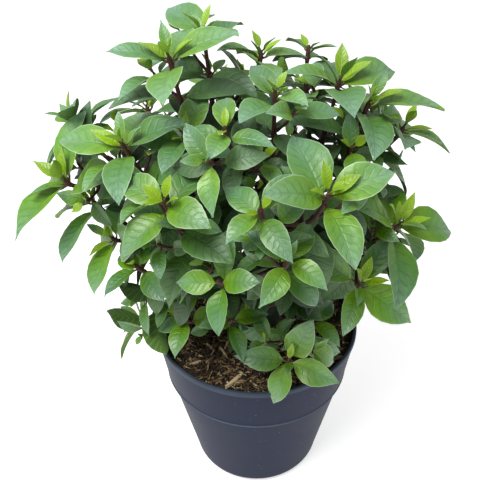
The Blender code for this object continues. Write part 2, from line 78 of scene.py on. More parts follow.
def feed(node, **settings):
    """Sets a node's own properties and its inputs, by name or, as in1, by number. An input given an output
    socket, or a node for its first output, is linked to it."""
    for name, value in settings.items():
        if hasattr(node, name):
            setattr(node, name, value)
    for name, value in settings.items():
        if not hasattr(node, name):
            socket = node.inputs[int(name[2:]) if name[2:].isdigit() else name.replace("_", " ")]
            source = value.outputs[0] if isinstance(value, bpy.types.Node) else value
            if isinstance(source, bpy.types.NodeSocket):
                node.id_data.links.new(source, socket)
            else:
                socket.default_value = value


def add(tree, kind, stops=(), **settings):
    """Adds a node with its settings and links. Stops are the places and colours of a ramp."""
    made = tree.nodes.new(f"ShaderNode{kind}")
    feed(made, **settings)
    for place, _ in stops[1:-1]:
        made.color_ramp.elements.new(place)
    for k, (place, colour) in enumerate(stops):
        made.color_ramp.elements[k].position = place
        made.color_ramp.elements[k].color = linear(colour)
    return made


def material(name):
    """A new material, its node tree and its shader."""
    made = bpy.data.materials.new(name)
    made.use_nodes = True
    return made, made.node_tree, made.node_tree.nodes["Principled BSDF"]


world = bpy.data.worlds.new("white_tent")
world.use_nodes = True
feed(world.node_tree.nodes["Background"], Color=linear("#FFFFFF"), Strength=TENT_STRENGTH)
bpy.context.scene.world = world

bpy.ops.object.light_add(type="AREA", location=SOFTBOX_PLACE)
softbox = bpy.context.object
softbox.name = "softbox"
softbox.data.shape = "SQUARE"
softbox.data.size = SOFTBOX_SIDE
softbox.data.energy = SOFTBOX_WATTS
softbox.rotation_euler = (Vector(SOFTBOX_AIM) - softbox.location).to_track_quat("-Z", "Y").to_euler()

bpy.ops.mesh.primitive_plane_add(size=TABLE_SIDE)
table = bpy.context.object
table.name = "lit_table_top"
opal, tree, shader = material("opal_acrylic_lit_from_below")
feed(shader, Base_Color=linear("#F6F6F6"), Roughness=0.9)
feed(shader, Emission_Color=linear("#FFFFFF"), Emission_Strength=TABLE_GLOW)
table.data.materials.append(opal)

# Pot: a 5 litre nursery pot, injection moulded in blue-grey polypropylene. The wall turns out into a deep
# collar with a thin bead at its foot, rolls over at the rim, and stands on a notched foot ring.
POT_HEIGHT = 0.192
POT_RADIUS = 0.110
POT_WALL = 0.0022
POT_SIDES = 96
RIM_LIP = 0.0035
COLLAR_FOOT = 0.133
COLLAR_FOOT_RADIUS = 0.1012
COLLAR_STEP = 0.0024
BEAD = 0.0007
BASE_RADIUS = 0.062
BASE_CORNER = 0.012
FOOT_RING = 0.004
FOOT_RISE = 0.003
POT_FLOOR = 0.0045
INNER_CORNER = 0.006  # where the wall turns in to the floor, inside
BOSS_RADIUS = 0.018
CORNER_STEPS = 8
POT_SMOOTH = 32  # degrees; edges that turn less are shaded smooth
NOTCHES = 6
NOTCH_FIRST = -98  # azimuth
NOTCH_SIZE = (0.016, 0.009, 0.0048)  # in from the edge, along it, and up, half of it below the ground


def pot_inside(height):
    """The radius of the pot's inner wall at a height."""
    low = BASE_RADIUS + BASE_CORNER - POT_WALL
    top = COLLAR_FOOT_RADIUS - COLLAR_STEP - POT_WALL
    if height < COLLAR_FOOT:
        return low + (top - low) * (height - BASE_CORNER) / (COLLAR_FOOT - BASE_CORNER)
    share = (height - COLLAR_FOOT) / (POT_HEIGHT - COLLAR_FOOT)
    return top + (POT_RADIUS - RIM_LIP - top) * share


def lathe(name, rings, sides):
    """A turned piece: a circle drawn out ring by ring, each (radius, height), and closed at both ends."""
    radius, height = rings[0]
    place = (0, 0, height)
    bpy.ops.mesh.primitive_circle_add(vertices=sides, radius=radius, fill_type="NGON", location=place)
    piece = bpy.context.object
    piece.name = name
    bpy.ops.object.transform_apply()
    bpy.ops.object.mode_set(mode="EDIT")
    bpy.ops.mesh.delete(type="ONLY_FACE")
    bpy.ops.mesh.select_all(action="SELECT")
    for ring, step in rings[1:]:
        bpy.ops.mesh.extrude_edges_move(TRANSFORM_OT_translate={"value": (0, 0, step - height)})
        bpy.ops.transform.resize(value=(ring / radius, ring / radius, 1), center_override=(0, 0, step))
        radius, height = ring, step
    bpy.ops.mesh.select_all(action="SELECT")
    bpy.ops.mesh.region_to_loop()
    bpy.ops.mesh.edge_face_add()
    bpy.ops.mesh.select_all(action="SELECT")
    bpy.ops.mesh.normals_make_consistent(inside=False)
    bpy.ops.object.mode_set(mode="OBJECT")
    return piece


profile = [  # the underside, out to the foot ring
    (BOSS_RADIUS, 0),
    (BOSS_RADIUS + 0.001, FOOT_RISE),
    (BASE_RADIUS - FOOT_RING - 0.001, FOOT_RISE),
    (BASE_RADIUS - FOOT_RING, 0),
    (BASE_RADIUS - 0.0005, 0),
]
for k in range(1, CORNER_STEPS + 1):
    turn = math.radians(90 * k / CORNER_STEPS)
    profile.append((BASE_RADIUS + BASE_CORNER * math.sin(turn), BASE_CORNER * (1 - math.cos(turn))))
profile += [  # the collar's step and bead
    (COLLAR_FOOT_RADIUS - COLLAR_STEP, COLLAR_FOOT - 0.0016),
    (COLLAR_FOOT_RADIUS, COLLAR_FOOT - 0.0008),
    (COLLAR_FOOT_RADIUS + BEAD, COLLAR_FOOT + 0.0002),
    (COLLAR_FOOT_RADIUS + BEAD, COLLAR_FOOT + 0.0012),
    (COLLAR_FOOT_RADIUS + 0.0002, COLLAR_FOOT + 0.0022),
]
profile += [  # the rolled rim, over to its lip
    (POT_RADIUS - 0.0012, POT_HEIGHT - 0.0070),
    (POT_RADIUS - 0.0003, POT_HEIGHT - 0.0062),
    (POT_RADIUS, POT_HEIGHT - 0.0050),
    (POT_RADIUS, POT_HEIGHT - 0.0014),
    (POT_RADIUS - 0.0004, POT_HEIGHT - 0.0004),
    (POT_RADIUS - 0.0013, POT_HEIGHT),
    (POT_RADIUS - RIM_LIP + 0.0012, POT_HEIGHT),
    (POT_RADIUS - RIM_LIP + 0.0003, POT_HEIGHT - 0.0005),
    (POT_RADIUS - RIM_LIP, POT_HEIGHT - 0.0016),
]
inner_floor = FOOT_RISE + POT_FLOOR
inner_corner = inner_floor + INNER_CORNER
profile += [  # down the inside to the floor
    (pot_inside(COLLAR_FOOT), COLLAR_FOOT),
    (pot_inside(inner_corner), inner_corner),
    (pot_inside(inner_corner) - INNER_CORNER, inner_floor),
]
pot = lathe("nursery_pot", profile, POT_SIDES)
cutters = []
for k in range(NOTCHES):
    turn = math.radians(NOTCH_FIRST + 360 / NOTCHES * k)
    place = ((BASE_RADIUS - 0.001) * math.cos(turn), (BASE_RADIUS - 0.001) * math.sin(turn), 0)
    bpy.ops.mesh.primitive_cube_add(size=1, location=place, rotation=(0, 0, turn), scale=NOTCH_SIZE)
    cutters.append(bpy.context.object)
for cutter in cutters:
    bpy.context.view_layer.objects.active = pot
    notch = pot.modifiers.new("notch", "BOOLEAN")
    notch.object = cutter
    bpy.ops.object.modifier_apply(modifier="notch")
    bpy.data.objects.remove(cutter)


def smooth(piece, angle):
    """Shades a piece smooth over its edges that turn less than an angle."""
    bpy.ops.object.select_all(action="DESELECT")
    piece.select_set(True)
    bpy.context.view_layer.objects.active = piece
    bpy.ops.object.shade_smooth_by_angle(angle=math.radians(angle))


smooth(pot, POT_SMOOTH)


def scale_for(millimetres):
    """The scale of a pattern whose marks are so many millimetres across."""
    return 1000 / millimetres


# Polypropylene with a spark-eroded mould texture: satin, a little dusty, with a painted highlight on the rim
# and the bead
plastic, tree, shader = material("moulded_polypropylene")
place = add(tree, "TexCoord").outputs["Object"]
cloud = add(tree, "TexNoise", Vector=place, Scale=scale_for(71.4), Detail=4.0, Roughness=0.6)
tint = add(tree, "ValToRGB", Fac=cloud, stops=((0.30, "#151C32"), (0.72, "#1B233B")))
# dust: pale specks 1 mm across and nearly 7 mm apart, in patches
specks = add(tree, "TexVoronoi", Vector=place, Scale=scale_for(6.67))
dust = add(tree, "MapRange", Value=specks, From_Min=0.05, From_Max=0.11, To_Min=0.7, To_Max=0.0)
patch = add(tree, "TexNoise", Vector=place, Scale=scale_for(33.3), Detail=3.0)
patchy = add(tree, "MapRange", Value=patch, From_Min=0.44, From_Max=0.62)
dusty = add(tree, "Math", in0=dust, in1=patchy, operation="MULTIPLY")
whole = add(tree, "MixRGB", Fac=dusty, Color1=tint, Color2=linear("#7C8494"))
# painted highlight: the rim and the bead drawn paler in patches, where light catches their rounded edges
height = add(tree, "SeparateXYZ", Vector=place).outputs["Z"]
lip = POT_HEIGHT - 0.0055
rim = add(tree, "MapRange", Value=height, From_Min=lip - 0.001, From_Max=lip + 0.001, To_Max=0.7)
collar = add(tree, "Math", in0=height, in1=COLLAR_FOOT + 0.0006, operation="SUBTRACT")
off = add(tree, "Math", in0=collar, operation="ABSOLUTE")
bead = add(tree, "MapRange", Value=off, From_Min=0.0008, From_Max=0.0018, To_Min=0.8, To_Max=0.0)
raised = add(tree, "Math", in0=rim, in1=bead, operation="MAXIMUM")
rim_highlight = add(tree, "Math", in0=raised, in1=cloud, operation="MULTIPLY")
# the pale blue-grey on the rim and the bead is a painted highlight
worn = add(tree, "MixRGB", Fac=rim_highlight, Color1=whole, Color2=linear("#626E7C"))
sheen = add(tree, "MapRange", Value=cloud, To_Min=0.40, To_Max=0.58)
# the mould's grit is about 0.1 mm across, drawn eleven times coarser so that it shows
grit = add(tree, "TexNoise", Vector=place, Scale=scale_for(1.11), Detail=2.0)
bump = add(tree, "Bump", Height=grit, Strength=0.18, Distance=0.0004)
feed(shader, Base_Color=worn, Specular_IOR_Level=0.12, Roughness=sheen, Normal=bump)
pot.data.materials.clear()
pot.data.materials.append(plastic)
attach(pot, "root")
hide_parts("pot")

# Bark compost: chips, fibre and crumbs of composted bark, heaped a little in the middle and a few millimetres
# rough, filled to just under the rim. A closed, knobbly bed carries loose chips and fibres of several browns.
SOIL_EDGE = 0.183
SOIL_CROWN = 0.005
BED_ROUGHNESS = 0.0022
BED_RINGS = 60
BED_SIDES = 160
BED_CORNER = 0.008  # where its side turns in to its flat foot
GAP = 0.0003  # between pieces that rest on each other


def soil_height(x, y):
    """The compost's surface: the heap and its lumps."""
    share = min(math.hypot(x, y) / pot_inside(SOIL_EDGE), 1)
    lumps = noise.noise(Vector((x, y, 0)) * 90) + 0.7 * noise.noise(Vector((x, y, 3)) * 240)
    return SOIL_EDGE + SOIL_CROWN * (1 - share * share) + BED_ROUGHNESS * lumps * (1 - share**8)


bed_edge = pot_inside(SOIL_EDGE) - GAP
rings = [(0.0005, SOIL_EDGE + SOIL_CROWN)]
rings += [(bed_edge * k / BED_RINGS, SOIL_EDGE) for k in range(1, BED_RINGS + 1)]
bed_corner = inner_floor + BED_CORNER
rings += [
    (pot_inside(COLLAR_FOOT) - GAP, COLLAR_FOOT),
    (pot_inside(bed_corner) - 2 * GAP, bed_corner),
    (pot_inside(bed_corner) - 0.010, inner_floor + GAP),
]
bed = lathe("compost_bed", rings, BED_SIDES)
for corner in bed.data.vertices:
    if corner.co.z > SOIL_EDGE - 0.001:
        corner.co.z = soil_height(corner.co.x, corner.co.y)
bed.data.polygons.foreach_set("use_smooth", [True] * len(bed.data.polygons))

# Composted bark, damp and dark: painted nearly black as shade between crumbs of 2 to 3 mm, and painted warm
# brown where one catches the light
compost, tree, shader = material("damp_bark_compost")
place = add(tree, "TexCoord").outputs["Object"]
crumbs = add(tree, "TexNoise", Vector=place, Scale=scale_for(2.38), Detail=5.0, Roughness=0.7)
# painted shade in the crumbs' hollows and painted light on their tops, over the damp bark's own dark brown
brown = add(tree, "ValToRGB", Fac=crumbs, stops=((0.40, "#120D08"), (0.66, "#4A3A28")))
bump = add(tree, "Bump", Height=crumbs, Strength=0.8, Distance=0.002)
feed(shader, Base_Color=brown, Roughness=0.85, Normal=bump)
bed.data.materials.append(compost)
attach(bed, "root")
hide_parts("soil")


def joined(name, chunks, materials):
    """One mesh from many small ones, each (corners, faces, material index of each face or None)."""
    corners, faces, wears, start = [], [], [], 0
    for points, loops, worn in chunks:
        corners.append(np.asarray(points, float))
        faces += [[start + i for i in loop] for loop in loops]
        wears += list(worn) if worn is not None else [0] * len(loops)
        start += len(points)
    mesh = bpy.data.meshes.new(name)
    mesh.from_pydata(np.concatenate(corners).tolist(), [], faces)
    mesh.polygons.foreach_set("material_index", wears)
    for made in materials:
        mesh.materials.append(made)
    piece = bpy.data.objects.new(name, mesh)
    bpy.context.scene.collection.objects.link(piece)
    return piece


# Loose bark: flat splintered chips, curled fibres and crumbs, tipped at random and sunk a little into the
# bed. Each brown is a piece of its own.
BARK_BROWNS = (  # name, colour, chips, fibres, crumbs
    ("black", "#17110B", 380, 480, 420),
    ("dark", "#3A2A1B", 450, 500, 380),
    ("brown", "#634D35", 500, 460, 260),
    ("tan", "#987C56", 350, 320, 150),
    ("pale", "#C8B28C", 130, 160, 90),
)
LARGE_CHIPS = (  # place, turn in degrees, length and width of the few long strips that lie on top
    (-0.022, -0.087, 48, 0.027, 0.0036),
    (0.012, -0.030, 40, 0.024, 0.0024),
    (-0.035, -0.048, -60, 0.018, 0.0022),
    (-0.062, -0.062, 20, 0.015, 0.0024),
    (-0.004, -0.058, 80, 0.020, 0.0026),
    (0.030, -0.075, -25, 0.017, 0.0030),
    (-0.020, 0.060, 15, 0.024, 0.0034),
    (0.055, 0.045, 70, 0.022, 0.0040),
)
LARGE_CHIP_THICK = 0.0022
LARGE_CHIP_LIFT = 0.002  # its middle above the bed
CHIP_TIP = (34, 0.0014)  # the most it tips up in degrees, and its middle above the bed
CHIP_LENGTH = (0.004, 0.011)
LONG_CHIPS = 0.15  # the share of them that are half as long again
CHIP_WIDTH = (0.13, 0.27)  # of the length
CHIP_THICK = (0.0008, 0.0018)
FIBRE_TIP = (26, 0.0016)
FIBRE_LENGTH = (0.005, 0.015)
FIBRE_BOW = 1.3
FIBRE_THICK = (0.0003, 0.0007)
CRUMB_TIP = (40, 0.0006)
CRUMB_SIZE = (0.0008, 0.0022)
MOST_ROLL = 0.7  # radians
LITTER_EDGE = 0.005  # kept free along the pot's wall
shake = random.Random(5)


def chip_finish(name, colour):
    """Dry bark: one plain brown, dull, its roughness broken up every 2 mm."""
    made, tree, shader = material(name)
    place = add(tree, "TexCoord").outputs["Object"]
    fine = add(tree, "TexNoise", Vector=place, Scale=scale_for(2), Detail=3.0)
    spread = add(tree, "MapRange", Value=fine, To_Min=0.66, To_Max=0.90)
    bump = add(tree, "Bump", Height=fine, Strength=0.5, Distance=0.0005)
    feed(shader, Base_Color=linear(colour), Roughness=spread, Normal=bump)
    return made


def on_bed(reach):
    """A random place on the compost, evenly spread."""
    turn, out = shake.uniform(0, math.tau), reach * math.sqrt(shake.random())
    x, y = out * math.cos(turn), out * math.sin(turn)
    return Vector((x, y, soil_height(x, y)))


def tube_faces(rings, sides):
    """The faces of a tube whose corners are listed ring by ring, with both of its ends."""
    faces = [tuple(reversed(range(sides)))]
    last = sides * (rings - 1)
    for a in range(0, last, sides):
        for i in range(sides):
            j = (i + 1) % sides
            faces.append((a + i, a + j, a + sides + j, a + sides + i))
    return faces + [tuple(range(last, last + sides))]


def splinter(length, width, thick):
    """A bark chip: a bar pinched towards both ends, with its long edges broken."""
    corners = []
    for along, share in ((-0.5, 0.35), (-0.2, 0.95), (0.18, 1.0), (0.5, 0.3)):
        for y, z in ((-0.5, -0.5), (0.5, -0.5), (0.5, 0.5), (-0.5, 0.5)):
            jog = shake.uniform(-0.14, 0.14)
            corner = (length * (along + jog * 0.4), width * (y * share + jog), thick * (z + jog))
            corners.append(Vector(corner))
    return corners, tube_faces(4, 4)


def fibre(length, thick):
    """A curled three-sided shred of bark."""
    bow, corners = shake.uniform(-FIBRE_BOW, FIBRE_BOW), []
    for k in range(5):
        along = k / 4 - 0.5
        for i in range(3):
            round_at = math.tau * i / 3
            sideways = length * bow * along * along * 0.8 + thick * math.cos(round_at)
            corners.append(Vector((length * along, sideways, thick * 0.7 * math.sin(round_at))))
    return corners, tube_faces(5, 3)


def crumb(size):
    """A rough lump: an octahedron with its corners pushed about."""
    corners = []
    for axis in ((1, 0, 0), (0, 1, 0), (-1, 0, 0), (0, -1, 0), (0, 0, 1), (0, 0, -1)):
        corners.append(Vector(axis) * size * shake.uniform(0.7, 1.25))
    faces = [(0, 1, 4), (1, 2, 4), (2, 3, 4), (3, 0, 4), (1, 0, 5), (2, 1, 5), (3, 2, 5), (0, 3, 5)]
    return corners, faces


for name, colour, chips, fibres, lumps in BARK_BROWNS:
    chunks = []
    for k in range(chips + fibres + lumps):
        if k < chips:
            long = shake.uniform(*CHIP_LENGTH) * (1.5 if shake.random() < LONG_CHIPS else 1)
            shape = splinter(long, long * shake.uniform(*CHIP_WIDTH), shake.uniform(*CHIP_THICK))
            tip_up, lift = CHIP_TIP
        elif k < chips + fibres:
            shape = fibre(shake.uniform(*FIBRE_LENGTH), shake.uniform(*FIBRE_THICK))
            tip_up, lift = FIBRE_TIP
        else:
            shape = crumb(shake.uniform(*CRUMB_SIZE))
            tip_up, lift = CRUMB_TIP
        points, faces = shape
        turn = Matrix.Rotation(shake.uniform(0, math.tau), 3, "Z")
        turn = turn @ Matrix.Rotation(math.radians(shake.uniform(-tip_up, tip_up)), 3, "Y")
        turn = turn @ Matrix.Rotation(shake.uniform(-MOST_ROLL, MOST_ROLL), 3, "X")
        home = on_bed(bed_edge - LITTER_EDGE) + Vector((0, 0, lift))
        chunks.append(([turn @ p + home for p in points], faces, None))
    if name == "pale":
        for x, y, turn, long, wide in LARGE_CHIPS:
            turn = Matrix.Rotation(math.radians(turn), 3, "Z")
            home = Vector((x, y, soil_height(x, y) + LARGE_CHIP_LIFT))
            points, faces = splinter(long, wide, LARGE_CHIP_THICK)
            chunks.append(([turn @ p + home for p in points], faces, None))
    litter = joined(f"bark_litter_{name}", chunks, [chip_finish(f"{name}_bark_chip", colour)])
    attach(litter, "root")
    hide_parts("soil")

# Habit: seven canes rise from a clump, each with boughs, and every limb ends in a leafy shoot with leaves in
# crossed pairs. Each leaf makes room for its neighbours by turning, lifting or staying smaller.
LIMB_ROOM = 0.0105  # between the middle lines of two limbs, past where they part
STEP = 0.005  # between the points of a limb's curve
CURVE_STEP = 0.004  # between those of the smooth curve that it is read from
CURVE_HANDLE = 0.4  # of the span: how far a curve keeps to the way it leaves and arrives
START_RISES = (0, 0.35, -0.3)  # tried in turn for a limb whose way is blocked, each with every swing
START_SWINGS = (0, 20, -20, 40, -40, 60, -60)  # degrees
FOOT_LEVEL = SOIL_EDGE + SOIL_CROWN + GAP
CANES = 7
CANE_RING = 0.024
CANE_LEAN = 16
CANE_FIRST = -64  # azimuth of the first cane
CANE_RADIUS = 0.0048
CANE_SINK = 0.004  # a cane's curve starts this far below its flat foot
CANE_FLARE = 0.35  # how much wider its foot is, fading out over the next length
FLARE_LENGTH = 0.009
FORK_RISE = 0.55  # how far up its cane a bough leaves, for the share of the cane's height that it reaches
FORK_DOWN = 0.02  # share of the cane's length that it leaves lower than that
LOWEST_FORK = 0.05  # share of the cane's length below which none leaves
FORK_BELOW_LEAVES = 0.015
FORK_SPACING = 0.016  # between the places where boughs leave one cane
FORK_OUT = 1.2  # how strongly a bough sets out for its tip, against the way of its cane
SHOOT_RADIUS = 0.0024  # where a limb ends and its leafy shoot goes on
BOUGH_RADIUS = SHOOT_RADIUS * 1.35
TWIG_TIP_RADIUS = 0.0016

LEAN_PER_METRE = 150  # of reach, at the top
LOW_LEAN = 700  # added per metre of reach, for each metre that a shoot is under the height below
LOW_LEAN_FROM = 0.43
ROSETTE_DROP = 0.006  # a rosette's middle below the tip of its shoot
MASS_STEM = 0.125  # longest leafy stem
LEAFY_SHARE = 0.62  # of a short limb that is leafy
FORK_SHARE = 0.22  # along the leafy stem, where its second shoot leaves
FORK_RADIUS = 0.0020
PAIRS = (  # distance below the tip, size, lift and droop of each leaf pair
    (0.001, 0.42, 58, 14),
    (0.007, 0.90, 28, 34),
    (0.013, 1.00, 14, 38),
    (0.040, 1.00, 16, 40),
    (0.068, 0.94, 12, 40),
    (0.096, 0.86, 8, 38),
    (0.120, 0.76, 4, 36),
)
LIGHT_PULL = 0.35  # how far the lower leaves turn their faces to the light
LIGHT = (0, -0.5, 0.87)  # the way to it: from above, and a little from the front

LEAF_WIDTH = 0.57  # of the length
LEAF_FOLD = 16  # degrees that each half rises from the midrib
LEAF_THICK = 0.0013
YOUNG_NARROW = 0.74  # width of the leaves that are still opening, as a share of the grown ones'
STALK_HALF_WIDTH = 0.0007
STALK = 0.10  # length of a leaf's stalk, as a share of the leaf, from the middle of its stem
SHORTEST_STALK = 0.0042
LEAF_STATIONS = ((0.34, 0.94), (0.68, 0.80))  # share of the length, share of the half width
SMALL_STATIONS = ((0.48, 1.0),)
SMALL_LEAF = 0.052
SHORTEST_LEAF = 0.014
LEAST_WITH_CENTRE = 43  # mm, the leaf length of the shoots that carry an upright centre pair
TURN_SPREAD = 9  # degrees that a leaf may stray round its stem, and below up or down and on its own axis
TILT_SPREAD = 8
ROLL_SPREAD = 12
SIZE_SPREAD = 0.09
TOP_PULL = 0.26  # the same pull to the light for the top pairs
STEM_CLEAR = 0.012  # no pair sits nearer than this to the foot of its stem

# How leaves make room for each other
LEAF_MIDDLE = 0.55  # of its length
LEAF_NEAR = 0.62  # of two leaves' lengths together: with their middles farther apart, they can't meet
LEAF_ROOM = 0.0008  # kept round a leaf
LIMB_CLEAR = 0.003  # between a leaf and a limb's bark
ROOT_ROOM = 0.011  # where a leaf leaves its own mass's stems
RIM_CLEAR = 0.002
SOIL_CLEAR = 0.003
RIM_REACH = 0.012  # how far in from the pot's outside a leaf counts as over the rim
SIDE_CLEAR = 0.003
COLLAR_SHADE = 0.045  # how far below the rim a leaf may hang beside the pot
TRIES = (  # lift and turn in degrees, and size, tried in this order for a leaf that meets something
    (0, 0, 1), (7, 0, 1), (-7, 0, 1), (0, 8, 1), (0, -8, 1), (14, 0, 1), (-14, 0, 1), (8, 14, 1), (8, -14, 1),
    (-8, 14, 1), (-8, -14, 1), (24, 0, 0.95), (-22, 0, 0.95), (12, 22, 0.9), (12, -22, 0.9), (0, 0, 0.8),
    (16, 0, 0.7), (-16, 0, 0.7), (0, 20, 0.65), (0, -20, 0.65), (0, 0, 0.5),
)

# The leafy shoots that face the front and the top. Each mass is a stem and, in most, one fork.
# A shoot is azimuth, reach (mm), height (mm), turn of its leaf pairs and leaf length (mm).
FRONT = {
    "top": [(156, 50, 498, 150, 60), (82, 30, 477, 0, 50)],
    "top_left": [(-154, 77, 496, 150, 64), (-135, 83, 440, 174, 50)],
    "left": [(-151, 124, 432, 145, 66)],
    "far_left": [(172, 173, 415, 130, 58), (-173, 175, 376, 30, 80)],
    "left_low": [(180, 158, 342, 150, 66), (-171, 140, 312, 30, 64)],
    "front_left": [(-120, 139, 414, 84, 56)],
    "front_top": [(-73, 52, 472, 27, 46), (-105, 93, 461, 18, 42)],
    "front_high": [(-66, 132, 421, 93, 66), (-89, 140, 420, 150, 42)],
    "front": [(-81, 152, 383, 48, 45), (-102, 143, 354, 111, 42)],
    "top_right": [(14, 76, 455, 10, 76), (51, 77, 472, 69, 40)],
    "right": [(-10, 97, 450, 10, 74), (6, 136, 412, 150, 62)],
    "right_low": [(-22, 136, 347, 33, 78), (-45, 128, 311, 144, 62)],
    "front_low": [(-52, 89, 251, 12, 38), (-74, 106, 227, 75, 56)],
    "left_foot": [(-151, 126, 309, 0, 50), (-168, 121, 212, 45, 60)],
    "front_foot": [(-134, 98, 253, 40, 44), (-105, 88, 264, 75, 40)],
}

# The far side is filled by a rule that spreads its masses round, low and high in turn
BACK_MASSES = 8
BACK_FIRST = 8
BACK_TURN = 20
BACK_LOW = (150, 302)  # reach and height of a low mass, in mm
BACK_HIGH = (128, 408)
BACK_FORK = (16, -12, -72)  # the fork's change of azimuth, reach and height
BACK_FORK_LEAF = -6  # and of its leaf length, in mm
SEED = 11


Limb = namedtuple("Limb", "name points radii")
Shoot = namedtuple("Shoot", "mass points radii spin leaf")
Leaf = namedtuple("Leaf", "mass order base way face length droop")


def way_out(azimuth, lean):
    """A direction that leans so many degrees from upright, towards an azimuth."""
    a, b = math.radians(azimuth), math.radians(lean)
    return Vector((math.sin(b) * math.cos(a), math.sin(b) * math.sin(a), math.cos(b)))


def tip_of(row):
    """The tip of a listed shoot, and the way that it points."""
    azimuth, reach, height = row[0], row[1] / 1000, row[2] / 1000
    a = math.radians(azimuth)
    place = Vector((reach * math.cos(a), reach * math.sin(a), height))
    lean = reach * (LEAN_PER_METRE + LOW_LEAN * max(0, LOW_LEAN_FROM - height))
    way = way_out(azimuth, lean)
    return place + way * ROSETTE_DROP, way


def bend(start, start_way, end, end_way):
    """Points on a smooth curve that leaves and arrives along two ways."""
    span = (end - start).length
    count = max(6, round(span / CURVE_STEP))
    leave, arrive = start + start_way * span * CURVE_HANDLE, end - end_way * span * CURVE_HANDLE
    return interpolate_bezier(start, leave, arrive, end, count)


def length_of(points):
    return sum((b - a).length for a, b in zip(points, points[1:]))


def point_at(points, distance):
    """The place and the way of a curve at a distance from its start."""
    for a, b in zip(points, points[1:]):
        step = (b - a).length
        if distance <= step:
            return a + (b - a) * max(distance, 0) / step, (b - a).normalized()
        distance -= step
    return points[-1].copy(), (points[-1] - points[-2]).normalized()


def stretch(points, begin, end):
    """The part of a curve between two distances from its start, in short even steps."""
    count = max(2, round((end - begin) / STEP))
    return [point_at(points, begin + (end - begin) * i / count)[0] for i in range(count + 1)]


def taper(points, foot, tip):
    return [foot + (tip - foot) * i / (len(points) - 1) for i in range(len(points))]


def search_tree(limbs):
    """A search tree of the points on the limbs' middle lines."""
    tree = KDTree(sum(len(limb.points) for limb in limbs))
    for limb in limbs:
        for p in limb.points:
            tree.insert(p, 0)
    tree.balance()
    return tree


def room_of(points, clear_from, tree):
    """The least distance from a curve, past its first part, to the middle lines in a search tree."""
    return min(tree.find(p)[2] or 1 for p in points if (p - points[0]).length > clear_from)


def clear_bend(start, start_way, end, end_way, limbs, clear_from=0.03):
    """A curve that keeps off the limbs, its start swung to one side or the other where one is in the way."""
    tree = search_tree(limbs)
    best, most = None, 0
    for rise in START_RISES:
        for swing in START_SWINGS:
            turned = Matrix.Rotation(math.radians(swing), 3, "Z") @ start_way
            way = (turned + Vector((0, 0, rise))).normalized()
            points = bend(start, way, end, end_way)
            room = room_of(points, clear_from, tree)
            if room > LIMB_ROOM:
                return points
            if room > most:
                best, most = points, room
    return best


def back_masses():
    """The far side's masses by rule, as rows like the front's."""
    masses = {}
    for k in range(BACK_MASSES):
        azimuth = BACK_FIRST + BACK_TURN * k
        reach, height = BACK_HIGH if k % 2 else BACK_LOW
        spin, leaf = 37 * k % 90, 54 + 7 * (k % 3)
        turn, further, lower = BACK_FORK
        fork_azimuth = azimuth - turn if k % 2 else azimuth + turn
        fork = (fork_azimuth, reach + further, height + lower, 90 - spin, leaf + BACK_FORK_LEAF)
        masses[f"back_{k + 1}"] = [(azimuth, reach, height, spin, leaf), fork]
    return masses


def grow():
    """Canes, boughs and leafy shoots. Each mass hangs on the cane that stands nearest to it."""
    masses = FRONT | back_masses()
    crews = [[] for _ in range(CANES)]
    for name, rows in masses.items():
        away = [abs((rows[0][0] - CANE_FIRST - 360 / CANES * i + 180) % 360 - 180) for i in range(CANES)]
        crews[away.index(min(away))].append(name)
    canes, boughs, shoots = [], [], []
    low = FOOT_LEVEL - CANE_SINK
    for i, crew in enumerate(crews):
        crew.sort(key=lambda name: -masses[name][0][2])
        azimuth = CANE_FIRST + 360 / CANES * i
        a = math.radians(azimuth)
        foot = Vector((CANE_RING * math.cos(a), CANE_RING * math.sin(a), low))
        cane, forks_at = None, []
        for name in crew:
            rows = masses[name]
            tip, tip_way = tip_of(rows[0])
            others = canes + boughs + shoots
            if cane is None:
                cane = full = clear_bend(foot, way_out(azimuth, CANE_LEAN), tip, tip_way, others)
                base_radius = CANE_RADIUS
            else:
                rise = (tip.z - low) / (cane[-1].z - low)
                fork_at = length_of(cane) * max(LOWEST_FORK, FORK_RISE * rise - FORK_DOWN)
                fork_at = min(fork_at, length_of(canes[-1].points) - FORK_BELOW_LEAVES)
                while any(abs(fork_at - other) < FORK_SPACING for other in forks_at):
                    fork_at -= FORK_SPACING / 2
                forks_at.append(fork_at)
                place, way = point_at(cane, fork_at)
                out = (way + (tip - place).normalized() * FORK_OUT).normalized()
                full = clear_bend(place, out, tip, tip_way, others)
                base_radius = BOUGH_RADIUS
            whole = length_of(full)
            leafy = min(MASS_STEM, LEAFY_SHARE * whole)
            points = stretch(full, 0, whole - leafy)
            radii = taper(points, base_radius, SHOOT_RADIUS)
            if full is cane:
                flare = [1 + CANE_FLARE * math.exp(-STEP * k / FLARE_LENGTH) for k in range(len(points))]
                canes.append(Limb(f"cane_{i + 1}", points, [r * w for r, w in zip(radii, flare)]))
            else:
                boughs.append(Limb(f"bough_{name}", points, radii))
            stem = stretch(full, whole - leafy + GAP, whole)
            shoots.append(Shoot(name, stem, taper(stem, SHOOT_RADIUS, TWIG_TIP_RADIUS), *rows[0][3:]))
            for row in rows[1:]:
                fork, fork_way = point_at(stem, FORK_SHARE * leafy)
                end, end_way = tip_of(row)
                out = (fork_way + (end - fork).normalized()).normalized()
                side = clear_bend(fork, out, end, end_way, canes + boughs + shoots, clear_from=0.02)
                side = stretch(side, 0, length_of(side))
                shoots.append(Shoot(name, side, taper(side, FORK_RADIUS, TWIG_TIP_RADIUS), *row[3:]))
    return canes, boughs, shoots


